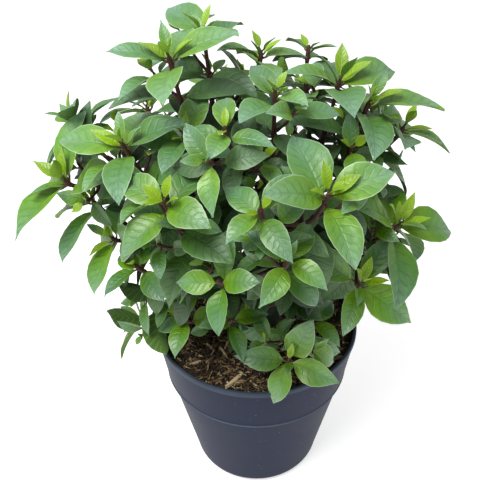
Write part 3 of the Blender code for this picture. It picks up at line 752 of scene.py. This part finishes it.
def leaf_plan(shoots, pairs=PAIRS, first_order=0, seed=SEED):
    """Every leaf as a growing shoot would set it, in crossed pairs, before any of them meets another."""
    rng = random.Random(seed)
    plan = []
    for shoot in shoots:
        whole = length_of(shoot.points)
        for order, (below, size, lift, droop) in enumerate(pairs, first_order):
            base, axis = point_at(shoot.points, whole - below)
            level = axis.cross(Vector((0, 0, 1))).normalized()
            for half in (0, 180):
                turn, tilt, grow_by, roll = (rng.uniform(-1, 1) for _ in range(4))
                if below > whole - STEM_CLEAR or (order == 0 and shoot.leaf < LEAST_WITH_CENTRE):
                    continue
                spin = math.radians(shoot.spin + 90 * (order % 2) + half + TURN_SPREAD * turn)
                pair = Matrix.Rotation(spin, 3, axis) @ level
                up = math.radians(lift + TILT_SPREAD * tilt)
                way = pair * math.cos(up) + axis * math.sin(up)
                face = axis * math.cos(up) - pair * math.sin(up)
                pull = LIGHT_PULL if order > 2 else TOP_PULL
                face = face * (1 - pull) + Vector(LIGHT) * pull
                face = (face - way * face.dot(way)).normalized()
                face = Matrix.Rotation(math.radians(ROLL_SPREAD * roll), 3, way) @ face
                length = shoot.leaf / 1000 * size * (1 + SIZE_SPREAD * grow_by)
                plan.append(Leaf(shoot.mass, order, base, way, face, length, droop))
    return plan


def stalk_length(leaf):
    return max(STALK * leaf.length, SHORTEST_STALK)


def leaf_solid(leaf, begin=0.0, margin=0.0):
    """Corners and faces: a three-sided stalk that opens to a blade, folded at its midrib and bent down."""
    side = leaf.face.cross(leaf.way)
    stalk = stalk_length(leaf)
    bow = math.radians(leaf.droop) / (leaf.length - stalk)
    half = LEAF_WIDTH * leaf.length / 2 * (YOUNG_NARROW if leaf.order < 0 else 1)

    def middle(share):
        angle = bow * (share * leaf.length - stalk)
        along = leaf.way * math.sin(angle) - leaf.face * (1 - math.cos(angle))
        rib = leaf.base + leaf.way * stalk + along / bow
        return rib, leaf.face * math.cos(angle) + leaf.way * math.sin(angle)

    wide = STALK_HALF_WIDTH + margin
    section = [(side + leaf.face) * wide, (leaf.face - side) * wide, -leaf.face * wide]
    root = leaf.base + leaf.way * min(begin * leaf.length, stalk - 0.001)
    corners = [root + corner for corner in section]
    corners += [leaf.base + leaf.way * stalk + corner for corner in section]
    stations = SMALL_STATIONS if leaf.length < SMALL_LEAF else LEAF_STATIONS
    for share, fullness in stations:
        rib, up = middle(share)
        wide = fullness * half + margin
        edge = rib + up * wide * math.tan(math.radians(LEAF_FOLD))
        thick = up * (LEAF_THICK / 2 + margin)
        corners += [edge + side * wide, rib + thick, edge - side * wide, rib - thick]
    corners.append(middle(1 + margin / leaf.length)[0])
    faces = [(0, 1, 2), (0, 3, 4, 1), (1, 4, 5, 2), (2, 5, 3, 0)]
    faces += [(3, 6, 7), (3, 7, 4), (4, 7, 8), (4, 8, 9), (4, 9, 5), (5, 9, 3), (3, 9, 6)]
    for ring in range(6, 4 * len(stations) + 2, 4):
        for i in range(4):
            a, b = ring + i, ring + (i + 1) % 4
            faces += [(a, a + 4, b + 4), (a, b + 4, b)]
    last, tip = len(corners) - 5, len(corners) - 1
    faces += [(last + i, tip, last + (i + 1) % 4) for i in range(4)]
    return corners, faces


def meets(leaf, settled, limbs):
    """True if a leaf would touch another, a limb, the soil or the pot."""
    corners, faces = leaf_solid(leaf, begin=0.2, margin=LEAF_ROOM)
    guard = BVHTree.FromPolygons(corners, faces)
    if any(below_rim(p) for p in corners):
        return True
    middle = middle_of(leaf)
    for other, tree, centre in settled:
        if (centre - middle).length < (leaf.length + other.length) * LEAF_NEAR and guard.overlap(tree):
            return True
    for limb in limbs:
        root_room = ROOT_ROOM if getattr(limb, "mass", "") == leaf.mass else 0
        for p, r in zip(limb.points, limb.radii):
            if (p - middle).length < leaf.length and (p - leaf.base).length > root_room:
                if guard.find_nearest(p, r + LIMB_CLEAR)[0] is not None:
                    return True
    return False


def middle_of(leaf):
    return leaf.base + leaf.way * leaf.length * LEAF_MIDDLE


def below_rim(p):
    """True where a leaf would lie in the soil, or in the pot's wall below its rim."""
    across = math.hypot(p.x, p.y)
    if across > POT_RADIUS + SIDE_CLEAR:
        return p.z < POT_HEIGHT - COLLAR_SHADE
    if across > POT_RADIUS - RIM_REACH:
        return p.z < POT_HEIGHT + RIM_CLEAR
    return p.z < SOIL_EDGE + SOIL_CROWN + SOIL_CLEAR


def settle(plan, limbs, settled=()):
    """The leaves that find room. One that meets something turns, lifts or stays smaller, or is left out."""
    settled = list(settled)
    for leaf in sorted(plan, key=lambda leaf: (leaf.order > 2, leaf.order == 0, -leaf.length)):
        for lift, turn, size in TRIES:
            side = leaf.face.cross(leaf.way)
            spin = Matrix.Rotation(math.radians(turn), 3, leaf.face)
            spin = spin @ Matrix.Rotation(math.radians(-lift), 3, side)
            moved = leaf._replace(way=spin @ leaf.way, face=spin @ leaf.face, length=leaf.length * size)
            if moved.length < SHORTEST_LEAF:
                break
            if not meets(moved, settled, limbs):
                settled.append((moved, BVHTree.FromPolygons(*leaf_solid(moved)), middle_of(moved)))
                break
    return settled


canes, boughs, shoots = grow()
limbs = canes + boughs + shoots
settled = settle(leaf_plan(shoots), limbs)

# Finer growth: side shoots in the axils of the older pairs, inner twigs on the canes and boughs, and young
# leaves round the strong tips, all within the reach of the crown and clear of what has grown before.
FINE_SEED = 5
TWIG_RADIUS = 0.0015
TWIG_FOOT = 0.7  # its most, of the stem that it leaves
TWIG_TIP = 0.75  # of its foot
TWIG_RISE = 0.7  # how strongly a twig bends up to the light
TWIG_CLEAR = 0.0022  # from a leaf
TWIG_ROOM = 0.007  # from the middle line of a limb, past the first part of the twig
TWIG_FREE = 0.009  # that first part
LEAF_REACH = 0.05  # a leaf farther off than this and its own length isn't looked at
CROWN_REACH = 0.175
SIDE_NODES = (3, 4, 5)  # the pairs of a shoot whose axils can branch
SIDE_ABOVE = 0.002  # how far above its leaf pair a side shoot leaves
SIDE_CHANCE = 0.8
SIDE_LENGTH = (0.022, 0.044)
SIDE_LEAF = (30, 44)  # mm
SIDE_STRAY = 15  # degrees round the stem
SIDE_OUT = 48  # degrees from the stem
SIDE_PAIRS = ((0.001, 0.50, 52, 16), (0.007, 0.98, 24, 32), (0.019, 1.00, 10, 38), (0.034, 0.9, 6, 38))
INNER_LOW = 0.242  # height of the lowest inner twig
INNER_SPACING = 0.019
INNER_LENGTH = (0.030, 0.062)
INNER_LEAF = (36, 58)
INNER_STRAY = 30
INNER_OUT = 58
INNER_PAIRS = ((0.001, 0.72, 34, 22), (0.012, 1.00, 14, 34), (0.034, 0.96, 6, 36))
TIP_PAIRS = ((0.0002, 0.22, 76, 6), (0.0024, 0.31, 64, 10), (0.0052, 0.44, 46, 16))
STRONG_LEAF = 58  # mm; only shoots with longer leaves, or that end above the next height, open new ones
STRONG_HEIGHT = 0.40
LATER_GROWTH = ((TIP_PAIRS, -3, 7), (SIDE_PAIRS, 10, 8), (INNER_PAIRS, 20, 9))  # pairs, first order and seed


def side_twig(mass, stem, along, round_at, length, leaf, out):
    """A twig that leaves a stem at a place along it, turned round it, and bends up to the light."""
    base, axis = point_at(stem.points, along)
    level = axis.cross(Vector((0, 0, 1))).normalized()
    pair = Matrix.Rotation(math.radians(round_at), 3, axis) @ level
    way = axis * math.cos(math.radians(out)) + pair * math.sin(math.radians(out))
    end_way = (way + Vector((0, 0, TWIG_RISE))).normalized()
    run = bend(base, way, base + (way + end_way).normalized() * length, end_way)
    run = stretch(run, 0, length_of(run))
    radius = min(TWIG_RADIUS, stem.radii[min(len(stem.radii) - 1, round(along / STEP))] * TWIG_FOOT)
    return Shoot(mass, run, taper(run, radius, radius * TWIG_TIP), rng.uniform(0, 90), leaf)


def has_room(twig, limbs):
    """True if a twig runs clear of every limb and leaf, and stays over the soil and inside the crown."""
    tip = twig.points[-1]
    if room_of(twig.points, TWIG_FREE, search_tree(limbs)) < TWIG_ROOM:
        return False
    if below_rim(tip) or math.hypot(tip.x, tip.y) > CROWN_REACH:
        return False
    for leaf, hull, centre in settled:
        if (centre - tip).length < leaf.length + LEAF_REACH:
            if any(hull.find_nearest(p, TWIG_CLEAR)[0] is not None for p in twig.points[1:]):
                return False
    return True


rng = random.Random(FINE_SEED)
side_shoots, inner_twigs = [], []
for shoot in shoots:
    whole = length_of(shoot.points)
    for order in SIDE_NODES:
        for half in (0, 180):
            chance, stray = rng.random(), rng.uniform(-SIDE_STRAY, SIDE_STRAY)
            length, leaf = rng.uniform(*SIDE_LENGTH), rng.uniform(*SIDE_LEAF)
            along = whole - PAIRS[order][0] + SIDE_ABOVE
            if chance > SIDE_CHANCE or along < STEM_CLEAR:
                continue
            round_at = shoot.spin + 90 * (order % 2) + half + stray
            twig = side_twig(shoot.mass, shoot, along, round_at, length, leaf, SIDE_OUT)
            if has_room(twig, limbs + side_shoots):
                side_shoots.append(twig)
for limb in canes + boughs:
    for k in range(int(length_of(limb.points) / INNER_SPACING)):
        along = (k + 0.5) * INNER_SPACING
        for half in (0, 180):
            stray = rng.uniform(-INNER_STRAY, INNER_STRAY)
            length, leaf = rng.uniform(*INNER_LENGTH), rng.uniform(*INNER_LEAF)
            if point_at(limb.points, along)[0].z < INNER_LOW:
                continue
            round_at = 90 * (k % 2) + half + stray
            twig = side_twig(limb.name, limb, along, round_at, length, leaf, INNER_OUT)
            if has_room(twig, limbs + side_shoots + inner_twigs):
                inner_twigs.append(twig)
limbs += side_shoots + inner_twigs
growing = [shoot for shoot in shoots if shoot.leaf > STRONG_LEAF or shoot.points[-1].z > STRONG_HEIGHT]
for stems, (pairs, first_order, seed) in zip((growing, side_shoots, inner_twigs), LATER_GROWTH):
    settled = settle(leaf_plan(stems, pairs, first_order, seed), limbs, settled)

# Woody canes and boughs: one to three years old, thin grey-brown bark over ridged wood, ringed where old leaf
# pairs sat. Each is a tapering round limb with the ridges and rings in its mesh.
BARK_SIDES = 14
BARK_STEP = 0.003
BARK_RELIEF = 0.112  # of the radius
RING_SPACING = 0.021  # between the old leaf scars
RING_HALF_LENGTH = 0.0022
RING_SWELL = 0.16


def frames_along(points, spacing):
    """Places at an even spacing along a curve, each with its distance from the start and two axes across."""
    whole = length_of(points)
    count = max(2, round(whole / spacing))
    side, found = None, []
    for k in range(count + 1):
        place, way = point_at(points, whole * k / count)
        side = way.orthogonal() if side is None else side - way * side.dot(way)
        side.normalize()
        found.append((whole * k / count, place, side.copy(), way.cross(side)))
    return found


def limb_mesh(points, radius_at, sides, spacing, shift):
    """A round limb, closed at both ends: corners, faces, and (across, across, along) at each corner."""
    corners, grain = [], []
    rings = frames_along(points, spacing)
    for along, place, a, b in rings:
        for i in range(sides):
            turn = math.tau * i / sides
            r = radius_at(along, turn)
            corners.append(place + (a * math.cos(turn) + b * math.sin(turn)) * r)
            grain.append((r * math.cos(turn), r * math.sin(turn), along + shift))
    return corners, tube_faces(len(rings), sides), None, grain


def grown(name, chunks, materials, attribute):
    """A joined, smooth mesh whose corners carry a named vector that its material reads."""
    piece = joined(name, [(corners, faces, worn) for corners, faces, worn, _ in chunks], materials)
    held = piece.data.attributes.new(attribute, "FLOAT_VECTOR", "POINT")
    held.data.foreach_set("vector", np.concatenate([np.asarray(v, float) for *_, v in chunks]).ravel())
    piece.data.polygons.foreach_set("use_smooth", [True] * len(piece.data.polygons))
    return piece


def between(values, at):
    """A value read off a list at a place between two of its entries."""
    low = min(int(at), len(values) - 2)
    return values[low] + (values[low + 1] - values[low]) * (at - low)


def bark_of(limb, shift):
    """One limb's mesh with ridged, ringed bark."""
    whole = length_of(limb.points)

    def radius_at(along, turn):
        ridge = noise.noise(Vector((math.cos(turn) * 1.6, math.sin(turn) * 1.6, along * 60 + shift)))
        ring = max(0, 1 - abs((along % RING_SPACING) - RING_SPACING / 2) / RING_HALF_LENGTH) * RING_SWELL
        return between(limb.radii, along / whole * (len(limb.radii) - 1)) * (1 + BARK_RELIEF * ridge + ring)

    return limb_mesh(limb.points, radius_at, BARK_SIDES, BARK_STEP, shift)


def barked(name, pale, dark, fleck):
    """Bark: dull, with streaks of two browns 2 mm wide and 2 cm long down the limb, and pale pores."""
    made, tree, shader = material(name)
    grain = add(tree, "Attribute", attribute_name="grain").outputs["Vector"]
    long = add(tree, "Mapping", Vector=grain, Scale=(1, 1, 0.10))
    streak = add(tree, "TexNoise", Vector=long, Scale=scale_for(1.92), Detail=5.0, Roughness=0.65)
    browns = add(tree, "ValToRGB", Fac=streak, stops=((0.36, dark), (0.64, pale)))
    pores = add(tree, "TexVoronoi", Vector=grain, Scale=scale_for(2.38))
    spots = add(tree, "MapRange", Value=pores, From_Min=0.14, From_Max=0.24, To_Min=0.7, To_Max=0.0)
    coat = add(tree, "MixRGB", Fac=spots, Color1=browns, Color2=linear(fleck))
    bump = add(tree, "Bump", Height=streak, Strength=0.6, Distance=0.0006)
    feed(shader, Base_Color=coat, Roughness=0.78, Normal=bump)
    return made


old_bark = barked("grey_brown_bark", "#7A6652", "#3B2E24", "#A39382")
young_bark = barked("red_brown_bark", "#5E3A2C", "#301B15", "#8A6A58")
for name, group, bark in (("woody_canes", canes, old_bark), ("woody_boughs", boughs, young_bark)):
    piece = grown(name, [bark_of(limb, 0.7 * k) for k, limb in enumerate(group)], [bark], "grain")
    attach(piece, "root")
    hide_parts(*[limb.name for limb in group])
foliage = [f"foliage_{name}" for name in sorted({shoot.mass for shoot in shoots})]

# Green wood: this year's shoots and side twigs, smooth, wine red outside and browner inside the crown. They
# swell a little where each leaf pair joins, and end in a bud.
SHOOT_SIDES = 8
SHOOT_STEP = 0.0028
NODE_SWELL = 0.42
NODE_HALF_LENGTH = 0.0030
BUD_LENGTH = 0.004


def shoot_mesh(shoot, pairs, shift):
    """One leafy shoot's stem: tapered, swollen at its leaf pairs, drawn to a point past its last pair."""
    whole = length_of(shoot.points)

    def radius_at(along, turn):
        r = shoot.radii[0] + (shoot.radii[-1] - shoot.radii[0]) * along / whole
        near = min(abs(whole - row[0] - along) for row in pairs)
        r *= 1 + NODE_SWELL * math.exp(-(near / NODE_HALF_LENGTH) ** 2)
        return r * min(1, 0.35 + (whole - along) / BUD_LENGTH)

    return limb_mesh(shoot.points, radius_at, SHOOT_SIDES, SHOOT_STEP, shift)


red_skin = barked("wine_red_shoot_skin", "#4B241D", "#291310", "#684337")
brown_skin = barked("brown_twig_skin", "#3C2A1F", "#1D130D", "#5E4C3D")
groups = (
    ("young_shoots", shoots, PAIRS, red_skin),
    ("side_shoots", side_shoots, SIDE_PAIRS, red_skin),
    ("inner_twigs", inner_twigs, INNER_PAIRS, brown_skin),
)
for name, group, pairs, skin in groups:
    piece = grown(name, [shoot_mesh(shoot, pairs, 0.3 * k) for k, shoot in enumerate(group)], [skin], "grain")
    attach(piece, "root")
    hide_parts(*foliage)

# Leaves: soft hydrangea blades, folded up a little along the midrib and bent down towards the tip, with
# sunken side veins, a pale toothed margin and a short green stalk. Each kind is a piece of its own: lime at
# the tips, bright on the young wood, darker and bluer further in, where older leaves are darkened further as
# painted shade.
LEAF_ROWS = 16
SMALL_ROWS = 8
SMALL_BLADE = 0.034
BLADE_HALF = 0.5 * LEAF_WIDTH
VEIN_PAIRS = 8
VEIN_SWEEP = 0.85  # how far the side veins run forward on their way to the margin
VEIN_DEPTH = 0.0035  # of the blade length
LOBE_RISE = 0.13  # how far each half of a blade bulges, of its half width
BLADE_THICK = 0.0005
TOOTH = 0.014  # how far a margin's teeth stand out and in, of the half width
TIP_SHARP = 1.22  # how much finer a blade runs out than it begins
BLADE_SMOOTH = 75  # degrees
LEAF_SEED = 31
# How single leaves stray: each share or angle is drawn between two bounds
DROOPS = (0.85, 1.25)  # of the droop of their pair
WIDTHS = (0.70, 0.94)
BELLIES = (0.44, 0.51)  # where along the blade it is widest
FULLNESSES = (0.80, 0.95)
FOLDS = (0.7, 1.6)
MOST_TWIST = 12  # degrees from stalk to tip
MOST_CURVE = 0.05  # sideways, of the blade length
WAVES = (0.02, 0.09)  # of the half width
TONES = (0.86, 1.14)


def width_at(along, belly, fullness):
    """The half width of a blade along its length, 1 at its belly."""
    tail = TIP_SHARP * fullness * (1 - belly) / belly
    return (along / belly) ** fullness * ((1 - along) / (1 - belly)) ** tail if 0 < along < 1 else 0


def blade_of(leaf, tone):
    """A blade: corners, faces, which faces are the underside, and (across, along, tone) at each corner."""
    rows = SMALL_ROWS if leaf.length < SMALL_BLADE else LEAF_ROWS
    side = leaf.face.cross(leaf.way)
    stalk = stalk_length(leaf)
    long = leaf.length - stalk
    bow = math.radians(leaf.droop * rng.uniform(*DROOPS)) / long
    half = BLADE_HALF * leaf.length * rng.uniform(*WIDTHS) * (YOUNG_NARROW if leaf.order <= 0 else 1)
    belly, fullness = rng.uniform(*BELLIES), rng.uniform(*FULLNESSES)
    fold = math.tan(math.radians(LEAF_FOLD * rng.uniform(*FOLDS)))
    twist = math.radians(rng.uniform(-MOST_TWIST, MOST_TWIST))
    curve = rng.uniform(-MOST_CURVE, MOST_CURVE) * long
    wave, phase = rng.uniform(*WAVES) * half, rng.uniform(0, math.tau)

    def midrib(along):
        """The midrib's place at a share of the blade's length, and how far it has turned down."""
        turn = bow * along * long
        place = leaf.base + leaf.way * (stalk + math.sin(turn) / bow) - leaf.face * (1 - math.cos(turn)) / bow
        return place + side * curve * along * along, turn

    uppers, ribs, upper_at, rib_at = [], [], [], []
    for k in range(rows):
        row, out_or_in = k / rows, 1 if k % 2 else -1
        for across in (-1, -0.5, 0, 0.5, 1):
            at_margin, at_lobe = abs(across) == 1, abs(across) == 0.5
            along = row + VEIN_SWEEP * abs(across) * row * (1 - row)
            wide = max(half * width_at(along, belly, fullness), STALK_HALF_WIDTH)
            rib, turn = midrib(along)
            up = leaf.face * math.cos(turn) + leaf.way * math.sin(turn)
            level = side * math.cos(twist * along) + up * math.sin(twist * along)
            up = up * math.cos(twist * along) - side * math.sin(twist * along)
            reach = wide * across * (1 + TOOTH * out_or_in * at_margin)
            rise = abs(reach) * fold + (wide * LOBE_RISE + VEIN_DEPTH * long * out_or_in) * at_lobe
            rise += wave * across * across * math.sin(phase + 9 * along + 2 * across)
            uppers.append(rib + level * reach + up * rise)
            upper_at.append((across, row, tone))
            if across == 0:
                ribs.append(rib - up * max(BLADE_THICK, 0.012 * wide + 0.0003))
                rib_at.append((0, row, tone))
    tip = midrib(1)[0]
    corners = uppers + ribs + [tip]
    low, end = 5 * rows, 6 * rows
    faces, under = [], []
    for k in range(rows - 1):
        a, b = 5 * k, 5 * k + 5
        faces += [(a + i, a + i + 1, b + i + 1, b + i) for i in range(4)]
        faces += [(a, b, low + k + 1, low + k), (low + k, low + k + 1, b + 4, a + 4)]
        under += [0, 0, 0, 0, 1, 1]
    a = 5 * (rows - 1)
    faces += [(a + i, a + i + 1, end) for i in range(4)]
    faces += [(a, end, end - 1), (end - 1, end, a + 4), (4, 3, 2, 1, 0, low)]
    under += [0, 0, 0, 0, 1, 1, 1]
    return corners, [tuple(reversed(f)) for f in faces], under, upper_at + rib_at + [(0, 1, tone)]


STALK_SIDES = 5
STALK_THICK = (0.0007, 0.008)  # half its thickness: the least, and what is added per length of the leaf
STALK_PLACES = (0.1, 0.5, 1.0, 1.6)  # shares of its length, from the middle of its stem, and its width there
STALK_TAPER = (1.25, 1, 0.85, 0.3)
STALK_SUNK = 0.6  # of its thickness, under the blade
SHORTEST_STALKED = 0.016


def stalk_of(leaf, shift):
    """A leaf's stalk, from inside its stem to a little way under its blade, where it joins the midrib."""
    stalk = stalk_length(leaf)
    thick = STALK_THICK[0] + STALK_THICK[1] * leaf.length
    sunk = leaf.face * thick * STALK_SUNK
    run = [leaf.base + leaf.way * stalk * s - sunk * min(1, s) for s in STALK_PLACES]
    radii = [thick * share for share in STALK_TAPER]

    def radius_at(along, turn):
        return between(radii, along / length_of(run) * 3)

    return limb_mesh(run, radius_at, STALK_SIDES, length_of(run) / 3, shift)


def leaf_skin(name, base, body, tip, vein, margin, roughness):
    """A leaf's upper skin: waxy green, lime towards the stalk and paler and bluer towards the tip as a
    painted sheen, with darker sunken veins and a pale margin, paler still as a painted highlight.
    """
    made, tree, shader = material(name)
    blade = add(tree, "Attribute", attribute_name="blade").outputs["Vector"]
    sides, along, tone = add(tree, "SeparateXYZ", Vector=blade).outputs
    across = add(tree, "Math", in0=sides, operation="ABSOLUTE")
    place = add(tree, "TexCoord").outputs["Object"]
    mottle = add(tree, "TexNoise", Vector=place, Scale=scale_for(5.88), Detail=4.0, Roughness=0.6)
    # the tip's pale blue-green stop is a painted sheen of sky light over the leaf's own green
    greens_and_tip_sheen = add(tree, "ValToRGB", Fac=along, stops=((0.02, base), (0.38, body), (0.92, tip)))
    # side veins: one dark line for each pair, a hair wider towards the midrib
    stray = add(tree, "Math", in0=mottle, in1=0.1, in2=along, operation="MULTIPLY_ADD")
    beat = add(tree, "Math", in0=stray, in1=math.tau * VEIN_PAIRS, operation="MULTIPLY")
    swing = add(tree, "Math", in0=beat, operation="COSINE")
    lines = add(tree, "MapRange", Value=swing, From_Min=0.45)
    faded = add(tree, "MapRange", Value=across, From_Min=0.55, From_Max=0.95, To_Min=1.0, To_Max=0.1)
    veins = add(tree, "Math", in0=lines, in1=faded, operation="MULTIPLY")
    rib = add(tree, "MapRange", Value=across, From_Min=0.03, From_Max=0.09, To_Min=0.9, To_Max=0.0)
    sunk = add(tree, "Math", in0=veins, in1=rib, operation="MAXIMUM")
    share = add(tree, "Math", in0=sunk, in1=0.26, operation="MULTIPLY")
    veined = add(tree, "MixRGB", Fac=share, Color1=greens_and_tip_sheen, Color2=linear(vein))
    # a thin pale margin, made paler still as a painted highlight along the edge
    edge = add(tree, "MapRange", Value=across, From_Min=0.94, From_Max=0.985, To_Max=0.48)
    edged = add(tree, "MixRGB", Fac=edge, Color1=veined, Color2=linear(margin))
    # painted light and shade by height: the leaves that stand high, open to the sky, get a thin blue-grey
    # painted sheen of sky light; the low ones get painted shade
    height = add(tree, "SeparateXYZ", Vector=place).outputs["Z"]
    sky_sheen_by_height = add(tree, "MapRange", Value=height, From_Min=0.35, From_Max=0.48, To_Max=0.09)
    sky_sheened = add(tree, "MixRGB", Fac=sky_sheen_by_height, Color1=edged, Color2=linear("#B2C0C8"))
    cloud = add(tree, "MapRange", Value=mottle, From_Min=0.3, From_Max=0.7, To_Min=0.88, To_Max=1.12)
    light = add(tree, "Math", in0=cloud, in1=tone, operation="MULTIPLY")
    # painted shade: darker the lower a leaf stands
    shade = add(tree, "MapRange", Value=height, From_Min=0.28, From_Max=0.50, To_Min=0.83, To_Max=0.99)
    value = add(tree, "Math", in0=light, in1=shade, operation="MULTIPLY")
    toned = add(tree, "HueSaturation", Value=value, Color=sky_sheened, Saturation=1.12)
    relief = add(tree, "Math", in0=mottle, in1=sunk, operation="SUBTRACT")
    bump = add(tree, "Bump", Height=relief, Strength=0.5, Distance=0.0006)
    feed(shader, Base_Color=toned, Roughness=roughness, Specular_IOR_Level=0.65, Normal=bump)
    return made


def leaf_back(name, colour, vein):
    """A leaf's underside: matt and paler, its green brightened as painted light shining through the blade,
    with the side veins standing out.
    """
    made, tree, shader = material(name)
    blade = add(tree, "Attribute", attribute_name="blade").outputs["Vector"]
    along = add(tree, "SeparateXYZ", Vector=blade).outputs["Y"]
    beat = add(tree, "Math", in0=along, in1=math.tau * VEIN_PAIRS, operation="MULTIPLY")
    swing = add(tree, "Math", in0=beat, operation="COSINE")
    lines = add(tree, "MapRange", Value=swing, From_Min=0.6, To_Max=0.6)
    veined = add(tree, "MixRGB", Fac=lines, Color1=linear(colour), Color2=linear(vein))
    feed(shader, Base_Color=veined, Roughness=0.7)
    return made


HALF_MIDDLE = 0.25  # of a leaf's cell: the middle of its left half, and how far the blade reaches from it
HALF_REACH = 0.22
CELL_EDGE = 0.04


def lay_flat(piece, blades):
    """A UV map with a square cell for each leaf: upper skin in its left half, underside in its right."""
    cells = math.ceil(math.sqrt(len(blades)))
    flat = []
    for count, (_, faces, under, held) in enumerate(blades):
        for loop, below in zip(faces, under):
            for i in loop:
                u = HALF_MIDDLE + HALF_REACH * held[i][0] + 0.5 * below
                v = CELL_EDGE + (1 - 2 * CELL_EDGE) * held[i][1]
                flat.append(((count % cells + u) / cells, (count // cells + v) / cells))
    piece.data.uv_layers.new(name="OFBake").data.foreach_set("uv", np.ravel(flat))


# painted light in these colours: the tips paler and bluer as a sheen, the margins partly a highlight, the
# undersides brightened as light shining through; the dark and deep kinds are partly painted shade
KINDS = {  # upper skin: by the stalk, body, tip, veins, margin and roughness; underside: colour and veins
    "young": (("#8CAE14", "#8CB21E", "#98BC46", "#688F1C", "#CCDC98", 0.40), ("#86AC2A", "#A8C45C")),
    "bright": (("#78A01A", "#68963E", "#84A984", "#487832", "#D8E8D0", 0.38), ("#66902A", "#90B25C")),
    "soft": (("#608C1C", "#588644", "#779C7E", "#3E6536", "#C4D8BC", 0.40), ("#54792F", "#80A25C")),
    "mid": (("#46701A", "#466A32", "#5A7C50", "#2E4C2A", "#92AE86", 0.45), ("#4A6B2F", "#74925C")),
    "dark": (("#305016", "#335226", "#476842", "#203A1A", "#76946A", 0.5), ("#3C5830", "#607C54")),
    "deep": (("#1D3412", "#20361B", "#2F4830", "#122212", "#526C52", 0.55), ("#263C20", "#405A3A")),
}
# The kinds that leaves are dealt from, for each pair: -3 to 0 at a shoot's tip, 1 to 6 further down it, 10 to
# 13 down a side shoot, 20 to 22 down an inner twig
# the dark and deep kinds dealt to the low pairs and the inner twigs are partly painted shade inside the crown
SHARES = {
    -3: ("young",),
    -2: ("young",),
    -1: ("young", "young", "bright"),
    0: ("young", "young", "bright"),
    1: ("bright", "bright", "bright", "soft"),
    2: ("bright", "soft", "soft"),
    3: ("soft", "mid", "mid"),
    4: ("mid", "mid", "dark"),
    5: ("mid", "dark", "dark"),
    6: ("dark", "dark", "deep"),
    10: ("young", "bright"),
    11: ("soft", "mid", "bright"),
    12: ("mid", "mid", "dark"),
    13: ("mid", "dark"),
    20: ("mid", "dark"),
    21: ("dark", "deep", "dark"),
    22: ("dark", "deep"),
}
rng = random.Random(LEAF_SEED)
dealt = {kind: [] for kind in KINDS}
stalks = []
for count, (leaf, _, _) in enumerate(settled):
    kind = rng.choice(SHARES[leaf.order])
    dealt[kind].append(blade_of(leaf, rng.uniform(*TONES)))
    if leaf.length > SHORTEST_STALKED:
        stalks.append(stalk_of(leaf, 0.2 * count))
for kind, (skin, back) in KINDS.items():
    both = [leaf_skin(f"waxy_leaf_skin_{kind}", *skin), leaf_back(f"matt_leaf_back_{kind}", *back)]
    piece = grown(f"leaves_{kind}", dealt[kind], both, "blade")
    lay_flat(piece, dealt[kind])
    smooth(piece, BLADE_SMOOTH)
    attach(piece, "root")
    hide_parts(*foliage)
piece = grown("leaf_stalks", stalks, [barked("green_stalk_skin", "#5C5A28", "#4A3A20", "#80824A")], "grain")
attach(piece, "root")
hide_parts(*foliage)
